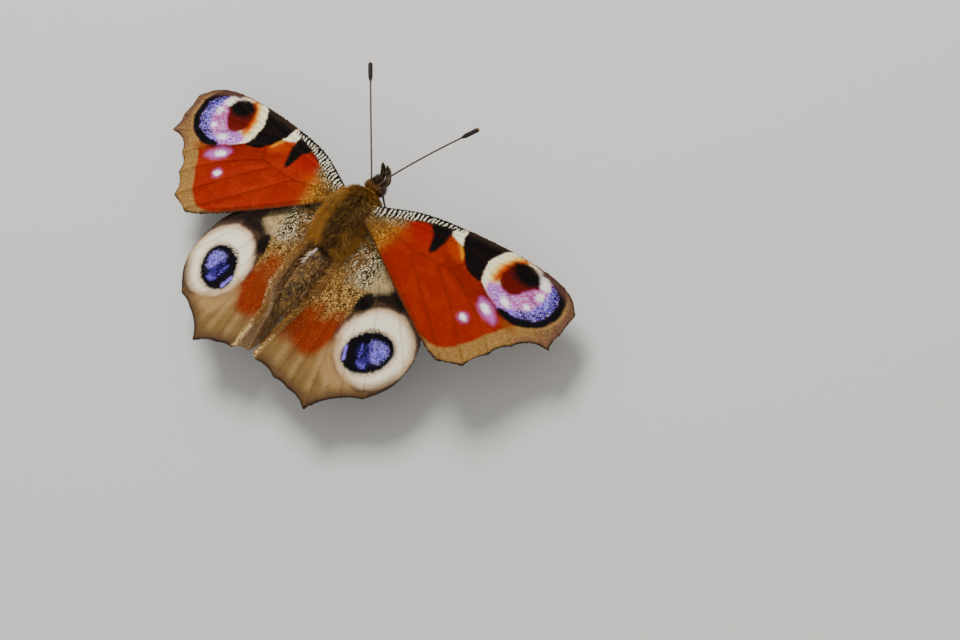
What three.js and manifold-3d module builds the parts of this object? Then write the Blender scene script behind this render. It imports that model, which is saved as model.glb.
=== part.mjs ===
// A peacock butterfly, life size, standing on a level surface with its wings spread.
// Millimetres. +Z is up, +Y runs towards the head and +X towards the butterfly's right.
// Everything is drawn about the axis of the body, and the whole is then set down on z = 0.

import * as THREE from "three";
import { mergeVertices } from "three/addons/utils/BufferGeometryUtils.js";
import Module from "manifold-3d";

const wasm = await Module();
wasm.setup();

// Driving dimensions
const gap = 0.3;                 // clear air between one sub-part and the next
const standingHeight = 7;        // from the ground up to the axis of the body
const membrane = 0.5;            // thickness of a wing between its veins
const veinHalfWidth = 0.3;       // from the crest of a vein to its foot
const veinHeightAtRoot = 0.2;
const veinHeightAtMargin = 0.1;
const wingLength = 29.25;        // from the root of a forewing to its longest tooth
const veinStep = 2;              // between two points along a vein
const marginStep = 1.5;          // between two points along an edge of a wing
const fillStep = 3.2;            // between the loose points of the membrane
const closest = 0.2;             // two points of a wing are no nearer than this

const coatDepth = 0.5;           // from the core of the thorax out to the tips of its hair
const thoraxFront = 5.75;
const thoraxBack = -3.6;
const abdomenTip = -12.7;
const headBack = thoraxFront + gap;
const headFront = 7.9;
const eyeFace = 0.62;            // the flat inner face of an eye, from the middle of the head

const right = new THREE.Vector3(1, 0, 0);

const at = (x, y, z) => new THREE.Vector3(x, y, z);
const degrees = THREE.MathUtils.degToRad;

// Shapes, joins and cuts

function solidOf(geometry) {
  const bare = geometry.clone();
  bare.deleteAttribute("normal");
  bare.deleteAttribute("uv");
  const merged = mergeVertices(bare, 1e-5);
  const mesh = new wasm.Mesh({
    numProp: 3,
    vertProperties: new Float32Array(merged.attributes.position.array),
    triVerts: new Uint32Array(merged.index.array),
  });
  return new wasm.Manifold(mesh);
}

function geometryOf(solid) {
  const pieces = solid.decompose();
  pieces.sort((a, b) => b.volume() - a.volume());
  const mesh = pieces[0].getMesh();
  const geometry = new THREE.BufferGeometry();
  geometry.setAttribute("position", new THREE.BufferAttribute(new Float32Array(mesh.vertProperties), 3));
  geometry.setIndex(new THREE.BufferAttribute(new Uint32Array(mesh.triVerts), 1));
  return geometry;
}

// The value at a share t of the way along evenly spaced values, on a smooth curve through them.
function along(values, t) {
  const points = values.map((value, i) => new THREE.Vector2(i, value));
  return new THREE.SplineCurve(points).getPoint(t).y;
}

// A closed body of oval sections set square to a path. A half width of 0 at an end makes a point there,
// and any other makes a flat face. The width of a section lies along the vector given as side.
function loft({ path, halfWidth, halfHeight = halfWidth, rings = 10, sides = 10, side = right }) {
  const curve = path.length > 2 ? new THREE.CatmullRomCurve3(path) : new THREE.LineCurve3(path[0], path[1]);
  const positions = [];
  const indices = [];
  const rows = [];
  for (let ring = 0; ring <= rings; ring++) {
    const t = ring / rings;
    const centre = curve.getPointAt(t);
    const width = along(halfWidth, t);
    if (width < 0.01) continue;
    const height = along(halfHeight, t);
    const tangent = curve.getTangentAt(t);
    const across = side.clone().addScaledVector(tangent, -side.dot(tangent)).normalize();
    const up = new THREE.Vector3().crossVectors(across, tangent);
    rows.push(positions.length / 3);
    for (let k = 0; k < sides; k++) {
      const turn = (2 * Math.PI * k) / sides;
      const point = centre.clone();
      point.addScaledVector(across, width * Math.cos(turn));
      point.addScaledVector(up, height * Math.sin(turn));
      positions.push(...point.toArray());
    }
  }
  for (let r = 0; r + 1 < rows.length; r++) {
    for (let k = 0; k < sides; k++) {
      const next = (k + 1) % sides;
      const [a, b] = [rows[r] + k, rows[r] + next];
      const [c, d] = [rows[r + 1] + k, rows[r + 1] + next];
      indices.push(a, d, b, a, c, d);
    }
  }
  const first = positions.length / 3;
  positions.push(...curve.getPointAt(0).toArray(), ...curve.getPointAt(1).toArray());
  const lastRow = rows[rows.length - 1];
  for (let k = 0; k < sides; k++) {
    const next = (k + 1) % sides;
    indices.push(first, rows[0] + k, rows[0] + next);
    indices.push(first + 1, lastRow + next, lastRow + k);
  }
  const geometry = new THREE.BufferGeometry();
  geometry.setAttribute("position", new THREE.Float32BufferAttribute(positions, 3));
  geometry.setIndex(indices);
  return geometry;
}

// The same body made larger all round, to cut its neighbours clear of it.
function grown(shape, by = gap) {
  const path = shape.path.map((point) => point.clone());
  const last = path.length - 1;
  path[0].addScaledVector(path[1].clone().sub(path[0]).normalize(), -by);
  path[last].addScaledVector(path[last - 1].clone().sub(path[last]).normalize(), -by);
  const halfWidth = shape.halfWidth.map((value) => value + by);
  const halfHeight = (shape.halfHeight ?? shape.halfWidth).map((value) => value + by);
  return { ...shape, path, halfWidth, halfHeight };
}

function oval(centre, radii, by = 0) {
  const geometry = new THREE.SphereGeometry(1, 16, 10);
  geometry.scale(radii.x + by, radii.y + by, radii.z + by);
  geometry.translate(centre.x, centre.y, centre.z);
  return geometry;
}

function boxBetween(low, high) {
  const size = high.clone().sub(low);
  const middle = low.clone().add(high).multiplyScalar(0.5);
  const geometry = new THREE.BoxGeometry(size.x, size.y, size.z);
  geometry.translate(middle.x, middle.y, middle.z);
  return geometry;
}

// Body

const thoraxPath = [at(0, thoraxFront, 0.75), at(0, 3.4, 0.6), at(0, 0.6, 0.45), at(0, thoraxBack, 0.15)];
const thoraxCurve = new THREE.CatmullRomCurve3(thoraxPath);
const thoraxShape = {
  path: thoraxPath,
  halfWidth: [1.3, 2.05, 2.4, 2.55, 2.6, 2.55, 2.45, 2.2, 1.9, 1.6, 1.3],
  halfHeight: [1.25, 1.85, 2.2, 2.4, 2.45, 2.4, 2.35, 2.1, 1.85, 1.6, 1.25],
  rings: 12,
  sides: 16,
};

// Each ring of the abdomen widens backwards, and the next one slips in under its hind edge.
const ringsOfAbdomen = 8;
const stepsInRing = 3;
const drawnIn = 0.1;
const abdomenHalfWidth = [1.4, 1.72, 1.8, 1.78, 1.7, 1.5, 1.2, 0.8, 0];
const abdomenSteps = stepsInRing * ringsOfAbdomen;

const abdomenShape = {
  path: [at(0, thoraxBack - gap, 0.1), at(0, -7, -0.05), at(0.1, -10, -0.2), at(0.3, abdomenTip, -0.45)],
  halfWidth: Array.from({ length: abdomenSteps + 1 }, (unused, step) => {
    const width = along(abdomenHalfWidth, step / abdomenSteps);
    const intoRing = (step % stepsInRing) / (stepsInRing - 1);
    return width > 0.5 ? width - drawnIn * (1 - intoRing) : width;
  }),
  rings: abdomenSteps,
  sides: 16,
};

const headShape = {
  path: [at(0, headBack, 0.6), at(0, 7, 0.6), at(0, headFront, 0.4)],
  halfWidth: [0.95, 1.15, 1.2, 1.1, 0.85, 0],
  halfHeight: [0.95, 1.15, 1.2, 1.15, 0.9, 0],
  rings: 12,
  sides: 16,
};

const thoraxRoom = solidOf(loft(grown(thoraxShape)));
const headRoom = solidOf(loft(grown(headShape)));

const eyeRadii = at(0.56, 0.76, 0.85);

function eyeCentre(side) {
  return at(side * 0.94, 7, 0.62);
}

function eye(side) {
  const [inner, outer] = side > 0 ? [eyeFace, 2] : [-2, -eyeFace];
  const outside = solidOf(boxBetween(at(inner, 5, -2), at(outer, 9, 3)));
  return solidOf(oval(eyeCentre(side), eyeRadii)).intersect(outside);
}

function eyeSocket(side) {
  const [inner, outer] = side > 0 ? [eyeFace - gap, 2.5] : [-2.5, gap - eyeFace];
  const outside = solidOf(boxBetween(at(inner, 4, -3), at(outer, 10, 4)));
  return solidOf(oval(eyeCentre(side), eyeRadii, gap)).intersect(outside);
}

const head = solidOf(loft(headShape)).subtract(eyeSocket(1)).subtract(eyeSocket(-1));

function palp(side) {
  const shape = {
    path: [at(side * 0.46, 7.2, 0), at(side * 0.5, 8.4, 0.2), at(side * 0.46, 9.2, 1.1), at(side * 0.4, 9.6, 2.2)],
    halfWidth: [0.28, 0.32, 0.32, 0.28, 0.16],
    halfHeight: [0.34, 0.42, 0.42, 0.32, 0.18],
    rings: 9,
    sides: 8,
  };
  return solidOf(loft(shape)).subtract(headRoom).subtract(eyeSocket(side));
}

const antennaTip = at(9.3, 19, 5.6);

function antenna(side) {
  const tip = at(side * antennaTip.x, antennaTip.y, antennaTip.z);
  const shape = {
    path: [at(side * 0.5, 6.9, 1.2), at(side * 1.5, 8.6, 2.2), at(side * 5.1, 13.5, 4), tip],
    halfWidth: [0.27, 0.25, 0.25, 0.25, 0.25, 0.25, 0.27, 0.42, 0.3],
    rings: 24,
    sides: 8,
  };
  return solidOf(loft(shape)).subtract(headRoom).subtract(eyeSocket(side));
}

// The tongue hangs from the underside of the head, as the butterfly feeds, and stops short of the ground.
function tongue() {
  const tipHeight = gap + 0.2 - standingHeight;
  const shape = {
    path: [at(0, 7.1, 0), at(0, 7.3, -1.2), at(0, 6.8, -2.8), at(0, 6.4, -4.6), at(0, 6.7, tipHeight)],
    halfWidth: [0.27, 0.26, 0.26, 0.25, 0.25, 0.15],
    rings: 16,
    sides: 8,
  };
  return solidOf(loft(shape)).subtract(headRoom);
}

// Legs. Each part of a leg is a spindle between two joints, and the feet are cut level with the ground.

const femurHalfWidth = [0.2, 0.36, 0.4, 0.34, 0.26];
const tibiaHalfWidth = [0.24, 0.27, 0.27, 0.3, 0.26];
const footHalfWidth = [0.2, 0.3, 0.27, 0.28, 0.26, 0.16];
const footAxis = 0.18;           // height of the axis of a foot above the ground

const aboveGround = solidOf(boxBetween(at(-60, -60, -standingHeight), at(60, 60, 60)));

function limb(from, to, halfWidth) {
  return solidOf(loft({ path: [from, to], halfWidth, rings: 5, sides: 7, side: at(0.3, 0.5, 0.8) }));
}

function joint(centre, radius) {
  const geometry = new THREE.IcosahedronGeometry(radius, 1);
  geometry.translate(centre.x, centre.y, centre.z);
  return solidOf(geometry);
}

function walkingLeg(side, joints) {
  const [hip, knee, ankle, toe] = joints.map((joint) => at(side * joint.x, joint.y, joint.z));
  let leg = limb(hip, knee, femurHalfWidth);
  leg = leg.add(limb(knee, ankle, tibiaHalfWidth));
  leg = leg.add(limb(ankle, toe, footHalfWidth));
  leg = leg.add(joint(knee, 0.3)).add(joint(ankle, 0.3));
  return leg.subtract(thoraxRoom).intersect(aboveGround);
}

const footHeight = footAxis - standingHeight;
const midJoints = [at(0.9, 2.2, -1.6), at(4.1, 3.9, -2.7), at(6.2, 4.6, footHeight), at(8.8, 6.2, footHeight)];
const hindJoints = [at(0.9, -0.9, -1.6), at(4, -3.9, -2.6), at(5.7, -7.6, footHeight), at(6.9, -11.2, footHeight)];

// The first legs of this family are small and are kept folded under the front of the body.
function foldedLeg(side) {
  const hip = at(side * 0.95, 3.9, -0.9);
  const knee = at(side * 1.25, 6.1, -2.3);
  const toe = at(side * 1.15, 4.2, -3.2);
  const leg = limb(hip, knee, femurHalfWidth).add(limb(knee, toe, footHalfWidth)).add(joint(knee, 0.28));
  return leg.subtract(thoraxRoom);
}

// Wings. Each pair shares one drawing, seen from above on the right side: x runs outwards and y forwards
// from the root. The left wing is its mirror image, and each wing is then turned to its own angles.

const plane = (x, y) => new THREE.Vector2(x, y);

// A smooth edge through a few points, without the last of them.
function smoothEdge(points) {
  const curve = new THREE.SplineCurve(points);
  const steps = Math.round(curve.getLength() / marginStep);
  return curve.getSpacedPoints(steps).slice(0, -1);
}

// A toothed edge: each vein ends in a tooth, and the edge is hollow between one tooth and the next.
function toothedEdge(teeth) {
  const edge = [];
  for (let i = 0; i + 1 < teeth.length; i++) {
    const from = teeth[i].point;
    const to = teeth[i + 1].point;
    const inwards = plane(to.y - from.y, from.x - to.x).normalize();
    const bend = from.clone().lerp(to, teeth[i].deepest ?? 0.5).addScaledVector(inwards, 2 * teeth[i].hollow);
    const curve = new THREE.QuadraticBezierCurve(from, bend, to);
    const steps = Math.max(3, Math.round(from.distanceTo(to) / marginStep));
    edge.push(...curve.getPoints(steps).slice(0, -1));
  }
  return edge;
}

const forewingFront = smoothEdge([
  plane(-1.6, -0.6), plane(0, 0.5), plane(4.1, 4.5), plane(9, 7.6), plane(15, 10.6), plane(20.8, 12.75),
  plane(24.4, 13.05), plane(27, 12),
]);

const forewing = {
  edge: [
    ...forewingFront,
    ...toothedEdge([
      { point: plane(27, 12), hollow: 0.1 },
      { point: plane(28.15, 9.2), hollow: 0.3 },
      { point: plane(wingLength, 6.75), hollow: 0.85, deepest: 0.6 },
      { point: plane(26.25, 3.45), hollow: 0.45 },
      { point: plane(25.65, 0.7), hollow: 0.4 },
      { point: plane(25.2, -2.6), hollow: 0.15 },
      { point: plane(22.7, -4.8) },
    ]),
    ...smoothEdge([
      plane(22.7, -4.8), plane(19.7, -4.9), plane(14.3, -4.25), plane(6.7, -3.05), plane(2.5, -2.3),
      plane(-1.6, -1.9),
    ]),
    plane(-1.6, -1.9),
  ],
  frontVein: forewingFront.slice(0, -3),
  veins: [
    [plane(0.6, 0.3), plane(4.5, 3.2), plane(9, 6.1), plane(12.5, 8.1), plane(16.4, 10.6)],
    [plane(-1.5, -1.3), plane(0.4, -0.3), plane(4.5, 2.4), plane(9, 4.9), plane(13.2, 6.9)],
    [plane(10.6, 5.7), plane(14.2, 8.2), plane(18.6, 11.2)],
    [plane(12.2, 6.5), plane(16, 8.6), plane(21.2, 11.9)],
    [plane(13.2, 6.9), plane(17, 8), plane(20, 8.6), plane(24, 8.9), plane(27.7, 9.1)],
    [plane(20, 8.6), plane(23.3, 10.3), plane(26.4, 11.8)],
    [plane(13.2, 6.9), plane(18, 6.9), plane(23.3, 6.9), plane(28.6, 6.8)],
    [plane(13.5, 5.2), plane(17.5, 5.1), plane(22, 4.7), plane(25.8, 3.6)],
    [plane(13.2, 6.9), plane(13.5, 5.2), plane(13.2, 3.2)],
    [plane(13.2, 3.2), plane(17.5, 2.8), plane(22, 1.9), plane(25.3, 0.8)],
    [plane(-1.5, -1.4), plane(0.4, -0.9), plane(4.5, 0), plane(8.5, 1), plane(13.2, 3.2)],
    [plane(11.4, 2.2), plane(16, 0.9), plane(21, -0.9), plane(24.8, -2.4)],
    [plane(7.6, 0.75), plane(12.5, -1), plane(18, -2.8), plane(22.7, -4.3)],
    [plane(-1.5, -1.6), plane(0.6, -1.6), plane(5, -2), plane(10, -2.9), plane(15, -3.7), plane(20, -4.4)],
  ],
  height: (x, y) => -0.0008 * x * x - 0.003 * (y - 3) ** 2,
};

const hindwingFront = smoothEdge([
  plane(-0.9, 0.6), plane(0.8, 1.9), plane(4.5, 3), plane(10, 2.5), plane(14.3, 0.5), plane(17, -1.9),
  plane(18.6, -4.5), plane(19.1, -7.3), plane(18.7, -9.5), plane(17.95, -11.5),
]);

const hindwing = {
  edge: [
    ...hindwingFront,
    ...toothedEdge([
      { point: plane(17.95, -11.5), hollow: 0.15 },
      { point: plane(15.95, -13.5), hollow: 0.4, deepest: 0.55 },
      { point: plane(13.9, -18.1), hollow: 0.4, deepest: 0.4 },
      { point: plane(10.3, -18.1), hollow: 0.2 },
      { point: plane(7.9, -18.7), hollow: 0.35 },
      { point: plane(4.2, -19.3) },
    ]),
    ...smoothEdge([
      plane(4.2, -19.3), plane(2.4, -18.4), plane(1.1, -15), plane(0.6, -11), plane(0.5, -7), plane(0.1, -3),
      plane(-0.9, -1.2),
    ]),
    plane(-0.9, -1.2),
  ],
  frontVein: hindwingFront.slice(0, 11),
  veins: [
    [plane(-0.9, 0.1), plane(1, 0.5), plane(5, 1.3), plane(10, 1.2), plane(15.6, -1.1)],
    [plane(1, 0.5), plane(1.9, 1.6)],
    [plane(2.6, 0.8), plane(7.5, -0.4), plane(13, -2.2), plane(18.5, -5.4)],
    [plane(4.7, 0.3), plane(9.5, -3.3), plane(14.2, -7.7), plane(17.6, -11.1)],
    [plane(5.4, -2.3), plane(9, -6.2), plane(12.6, -10.2), plane(15.6, -13.1)],
    [plane(5.6, -4.4), plane(8.4, -9), plane(11.4, -13.8), plane(13.7, -17.5)],
    [plane(5.6, -4.4), plane(7.4, -10), plane(8.9, -14.2), plane(10.2, -17.7)],
    [plane(3.6, -3.2), plane(5.4, -9.4), plane(6.7, -14), plane(7.8, -18.2)],
    [plane(-0.9, -0.4), plane(1.1, -0.9), plane(3.6, -3.2), plane(5.6, -4.4)],
    [plane(-0.9, -0.6), plane(1.1, -3.6), plane(2.8, -9.5), plane(3.7, -14.5), plane(4.3, -18.7)],
  ],
  height: (x, y) => -0.002 * (x * x + (y + 6) ** 2),
};

// Where each wing sits and how it is turned, in degrees: lift raises the tip, pitch raises the front
// edge and sweep carries the tip forwards. The pose isn't quite the same on the two sides.
const forewingRoot = at(2.5, 4.4, 2.21);
const hindwingRoot = at(2.64, 0.65, 0.94);
const pose = {
  forewing_left: { lift: -6.2, pitch: 3.7, sweep: -23 },
  forewing_right: { lift: -4.6, pitch: -10.9, sweep: -17.5 },
  hindwing_left: { lift: -8.4, pitch: -0.2, sweep: -25.8 },
  hindwing_right: { lift: 0.7, pitch: 4.3, sweep: -16.5 },
};

// The inner edge of a hindwing turns down along the side of the abdomen. The two folds draw together
// towards the tip of the abdomen, until they are closest, and there the right one opens into a gutter.
const foldDistance = 2.95;       // from the axis of the body to the bend
const foldAngle = degrees(88);
const foldBend = 0.6;            // length of membrane in the bend itself
const folds = {
  left: { closesBehind: -10, closes: 0.5, closest: 1.3, opens: 0 },
  right: { closesBehind: -8, closes: 0.22, closest: 0.7, opens: degrees(38) },
};

function foldedDown(point, fold) {
  const strength = THREE.MathUtils.smoothstep(-point.y, 0.2, 2.4);
  const opening = fold.opens * THREE.MathUtils.smoothstep(-point.y, 10.5, 13);
  const drawnTogether = fold.closes * Math.max(0, fold.closesBehind - point.y);
  const bendAt = Math.max(fold.closest, foldDistance - drawnTogether);
  const inside = bendAt - point.x;
  const angle = foldAngle * strength - opening;
  if (inside <= 0 || angle < 0.01) return point;
  const radius = foldBend / angle;
  const bent = Math.min(inside, foldBend) / radius;
  const straight = Math.max(0, inside - foldBend);
  const inwards = radius * Math.sin(bent) + straight * Math.cos(angle);
  const downwards = radius * (1 - Math.cos(bent)) + straight * Math.sin(angle);
  return at(bendAt - inwards, point.y, point.z - downwards);
}

// Triangles over a set of points, each circle through three corners holding no other point.
function triangulate(points) {
  const far = 1000;
  const corners = [...points, plane(-far, -far), plane(far, -far), plane(0, far)];
  const withCircle = (a, b, c) => {
    const [p, q, r] = [corners[a], corners[b], corners[c]];
    const d = 2 * (p.x * (q.y - r.y) + q.x * (r.y - p.y) + r.x * (p.y - q.y));
    const [pp, qq, rr] = [p.lengthSq(), q.lengthSq(), r.lengthSq()];
    const x = (pp * (q.y - r.y) + qq * (r.y - p.y) + rr * (p.y - q.y)) / d;
    const y = (pp * (r.x - q.x) + qq * (p.x - r.x) + rr * (q.x - p.x)) / d;
    const centre = plane(x, y);
    return { corners: [a, b, c], centre, reach: centre.distanceToSquared(p) };
  };
  let triangles = [withCircle(points.length, points.length + 1, points.length + 2)];
  points.forEach((point, i) => {
    const rim = new Map();
    const kept = [];
    for (const triangle of triangles) {
      if (triangle.centre.distanceToSquared(point) >= triangle.reach) {
        kept.push(triangle);
        continue;
      }
      for (let k = 0; k < 3; k++) {
        const [a, b] = [triangle.corners[k], triangle.corners[(k + 1) % 3]];
        if (rim.has(`${b} ${a}`)) rim.delete(`${b} ${a}`);
        else rim.set(`${a} ${b}`, [a, b]);
      }
    }
    triangles = kept;
    for (const [a, b] of rim.values()) triangles.push(withCircle(a, b, i));
  });
  return triangles.map((triangle) => triangle.corners).filter((abc) => Math.max(...abc) < points.length);
}

function isInside(point, outline) {
  let inside = false;
  for (let i = 0; i < outline.length; i++) {
    const [a, b] = [outline[i], outline[(i + 1) % outline.length]];
    const crosses = a.y > point.y !== b.y > point.y;
    if (crosses && point.x < a.x + ((b.x - a.x) * (point.y - a.y)) / (b.y - a.y)) inside = !inside;
  }
  return inside;
}

function distanceToLine(point, line) {
  let nearest = Infinity;
  for (let i = 0; i + 1 < line.length; i++) {
    const run = line[i + 1].clone().sub(line[i]);
    const share = THREE.MathUtils.clamp(point.clone().sub(line[i]).dot(run) / run.lengthSq(), 0, 1);
    const foot = line[i].clone().addScaledVector(run, share);
    nearest = Math.min(nearest, foot.distanceTo(point));
  }
  return nearest;
}

// The points and triangles of one wing in its own plane. The edges that are asked for are the outline
// and the crests of the veins, and any that the triangles miss are halved until they are there.
function wingNet({ edge, frontVein, veins }) {
  const points = [];
  const place = (point, spacing) => {
    const near = points.findIndex((other) => other.distanceTo(point) < spacing);
    if (near >= 0) return near;
    points.push(point);
    return points.length - 1;
  };
  const rim = edge.map((point) => place(point, 0.05));
  const wanted = rim.map((a, i) => [a, rim[(i + 1) % rim.length]]);
  const crests = veins.map((vein) => {
    const curve = new THREE.SplineCurve(vein);
    return curve.getSpacedPoints(Math.max(1, Math.round(curve.getLength() / veinStep)));
  });
  crests.push(frontVein);
  const closedEdge = [...edge, edge[0]];
  for (const crest of crests) {
    const path = crest.map((point) => place(point, closest));
    for (let i = 0; i + 1 < path.length; i++) {
      if (path[i] !== path[i + 1]) wanted.push([path[i], path[i + 1]]);
    }
  }
  const addIfFree = (point, fromVeins, spacing) => {
    const clearOfVeins = crests.every((crest) => distanceToLine(point, crest) > fromVeins);
    if (!clearOfVeins || !isInside(point, edge) || distanceToLine(point, closedEdge) < closest) return;
    place(point, spacing);
  };
  for (const crest of crests) {
    crest.forEach((point, i) => {
      const run = crest[Math.min(i + 1, crest.length - 1)].clone().sub(crest[Math.max(i - 1, 0)]).normalize();
      for (const sideways of [plane(-run.y, run.x), plane(run.y, -run.x)]) {
        addIfFree(point.clone().addScaledVector(sideways, veinHalfWidth), veinHalfWidth * 0.85, closest);
      }
    });
  }
  for (let x = 0; x < wingLength; x += fillStep) {
    for (let y = -20; y < 14; y += fillStep) {
      addIfFree(plane(x + 0.013 * y, y + 0.017 * x), 1, 1.2);
    }
  }
  let triangles = triangulate(points);
  for (let round = 0; round < 6; round++) {
    const present = new Set();
    for (const [a, b, c] of triangles) {
      for (const [from, to] of [[a, b], [b, c], [c, a]]) present.add(`${Math.min(from, to)} ${Math.max(from, to)}`);
    }
    const missing = wanted.filter(([a, b]) => !present.has(`${Math.min(a, b)} ${Math.max(a, b)}`));
    if (missing.length === 0) break;
    for (const pair of missing) {
      const middle = points[pair[0]].clone().lerp(points[pair[1]], 0.5);
      const added = place(middle, 0.1);
      wanted.splice(wanted.indexOf(pair), 1);
      for (const end of pair) {
        if (end !== added) wanted.push([end, added]);
      }
    }
    triangles = triangulate(points);
  }
  const kept = triangles.filter(([a, b, c]) => {
    const middle = points[a].clone().add(points[b]).add(points[c]).divideScalar(3);
    return isInside(middle, edge);
  });
  const rise = points.map((point) => {
    const distance = Math.min(...crests.map((crest) => distanceToLine(point, crest)));
    const share = THREE.MathUtils.clamp(point.length() / wingLength, 0, 1);
    const crestHeight = THREE.MathUtils.lerp(veinHeightAtRoot, veinHeightAtMargin, share);
    return crestHeight * Math.max(0, 1 - distance / veinHalfWidth);
  });
  return { points, triangles: kept, rise };
}

// Two faces from one net, the upper and the lower split alike, and a wall round the edge between them.
function wing({ net, height, root, turn, side, fold }) {
  const { points, triangles, rise } = net;
  const turned = new THREE.Matrix4().makeRotationY(-degrees(turn.lift));
  turned.multiply(new THREE.Matrix4().makeRotationX(degrees(turn.pitch)));
  turned.multiply(new THREE.Matrix4().makeRotationZ(degrees(turn.sweep)));
  const middle = (x, y) => {
    const point = at(x, y, height(x, y)).applyMatrix4(turned).add(root);
    return fold === undefined ? point : foldedDown(point, fold);
  };
  const positions = [];
  const small = 0.02;
  for (const direction of [1, -1]) {
    points.forEach((point, i) => {
      const alongX = middle(point.x + small, point.y).sub(middle(point.x - small, point.y));
      const alongY = middle(point.x, point.y + small).sub(middle(point.x, point.y - small));
      const outwards = alongX.cross(alongY).normalize();
      const surface = middle(point.x, point.y);
      surface.addScaledVector(outwards, direction * (membrane / 2 + rise[i]));
      positions.push(side * surface.x, surface.y, surface.z);
    });
  }
  const lower = points.length;
  const indices = [];
  const rim = new Map();
  for (const [a, b, c] of triangles) {
    indices.push(a, b, c, lower + a, lower + c, lower + b);
    for (const [from, to] of [[a, b], [b, c], [c, a]]) {
      if (rim.has(`${to} ${from}`)) rim.delete(`${to} ${from}`);
      else rim.set(`${from} ${to}`, [from, to]);
    }
  }
  for (const [from, to] of rim.values()) indices.push(from, lower + from, lower + to, from, lower + to, to);
  if (side < 0) indices.reverse();
  const geometry = new THREE.BufferGeometry();
  geometry.setAttribute("position", new THREE.Float32BufferAttribute(positions, 3));
  geometry.setIndex(indices);
  return solidOf(geometry).subtract(thoraxRoom);
}

const forewingNet = wingNet(forewing);
const hindwingNet = wingNet(hindwing);

function forewingOn(side, turn) {
  return wing({ net: forewingNet, height: forewing.height, root: forewingRoot, turn, side });
}

function hindwingOn(side, turn) {
  const fold = side < 0 ? folds.left : folds.right;
  return wing({ net: hindwingNet, height: hindwing.height, root: hindwingRoot, turn, side, fold });
}

// Hair of the thorax: flat tapered locks in staggered rows, rooted in the core and swept backwards over
// the next row. They are shorter near a neighbour, and left out where even a short one would be too near.

const lockRows = 9;
const locksInRow = 12;
const firstRow = 0.05;           // shares of the length of the thorax
const lastRow = 0.84;
const lockLength = 2.5;
const lockHalfWidth = 0.5;
const lockHalfThickness = 0.16;
const rootDepth = 0.45;
const shorter = [1, 0.75, 0.55, 0.4];

function randomFrom(seed) {
  let state = seed;
  return (low, high) => {
    state = (state * 1664525 + 1013904223) % 4294967296;
    return low + (high - low) * (state / 4294967296);
  };
}

function onThorax(share, turn) {
  const t = THREE.MathUtils.clamp(share, 0, 1);
  const width = along(thoraxShape.halfWidth, t);
  const height = along(thoraxShape.halfHeight, t);
  return thoraxCurve.getPointAt(t).add(at(width * Math.cos(turn), 0, height * Math.sin(turn)));
}

// The lie follows the skin at the front. Towards the back it runs straight on, out over the waist.
function lock({ t, turn, sideways, length, lift, halfWidth }) {
  const root = onThorax(t, turn);
  const outwards = at(Math.cos(turn), 0, Math.sin(turn));
  const alongSkin = onThorax(t + 0.05, turn).sub(onThorax(t - 0.05, turn)).normalize();
  const straight = at(0, -1, 0);
  const aside = at(-Math.sin(turn), 0, Math.cos(turn)).multiplyScalar(sideways);
  const lie = alongSkin.lerp(straight, t * 0.9).add(aside).normalize();
  const point = (run, height) => root.clone().addScaledVector(lie, run * length).addScaledVector(outwards, height);
  const halfThickness = lockHalfThickness;
  return solidOf(loft({
    path: [point(-0.05, -rootDepth), point(0.25, lift * 0.55), point(0.6, lift * 0.9), point(1, lift * 0.7)],
    halfWidth: [halfWidth * 0.7, halfWidth, halfWidth * 0.85, halfWidth * 0.55, 0],
    halfHeight: [halfThickness, halfThickness, halfThickness, halfThickness * 0.6, 0],
    rings: 4,
    sides: 4,
    side: new THREE.Vector3().crossVectors(lie, outwards),
  }));
}

function hairyThorax(neighbours) {
  const random = randomFrom(7);
  let coat = solidOf(loft(thoraxShape));
  for (let row = 0; row < lockRows; row++) {
    const t = THREE.MathUtils.lerp(firstRow, lastRow, row / (lockRows - 1));
    for (let k = 0; k < locksInRow; k++) {
      const turn = (2 * Math.PI * (k + (row % 2) / 2 + random(-0.12, 0.12))) / locksInRow;
      const sideways = random(-0.15, 0.15);
      const length = lockLength * random(0.85, 1.15);
      const lift = coatDepth * random(0.75, 1);
      const halfWidth = lockHalfWidth * random(0.85, 1.15);
      for (const size of shorter) {
        const hair = lock({ t, turn, sideways, length: length * size, lift: lift * size, halfWidth: halfWidth * size });
        if (neighbours.some((neighbour) => hair.minGap(neighbour, 1) < gap)) continue;
        coat = coat.add(hair);
        break;
      }
    }
  }
  return coat;
}

// Finishes and assembly

function finish(color, roughness = 0.8) {
  return new THREE.MeshStandardMaterial({ color, roughness, metalness: 0 });
}

const finishes = {
  hair: finish(0x6b4a22, 0.9),
  rust: finish(0xa8320f),
  brown: finish(0x6f5138),
  dark: finish(0x2a1c12, 0.6),
  eye: finish(0x1c1310, 0.25),
  scales: finish(0x3a2c24),
};

const butterfly = new THREE.Group();
const solids = [];

function addPart(name, solid, material) {
  solids.push(solid);
  const mesh = new THREE.Mesh(geometryOf(solid), material);
  mesh.name = name;
  butterfly.add(mesh);
}

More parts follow.
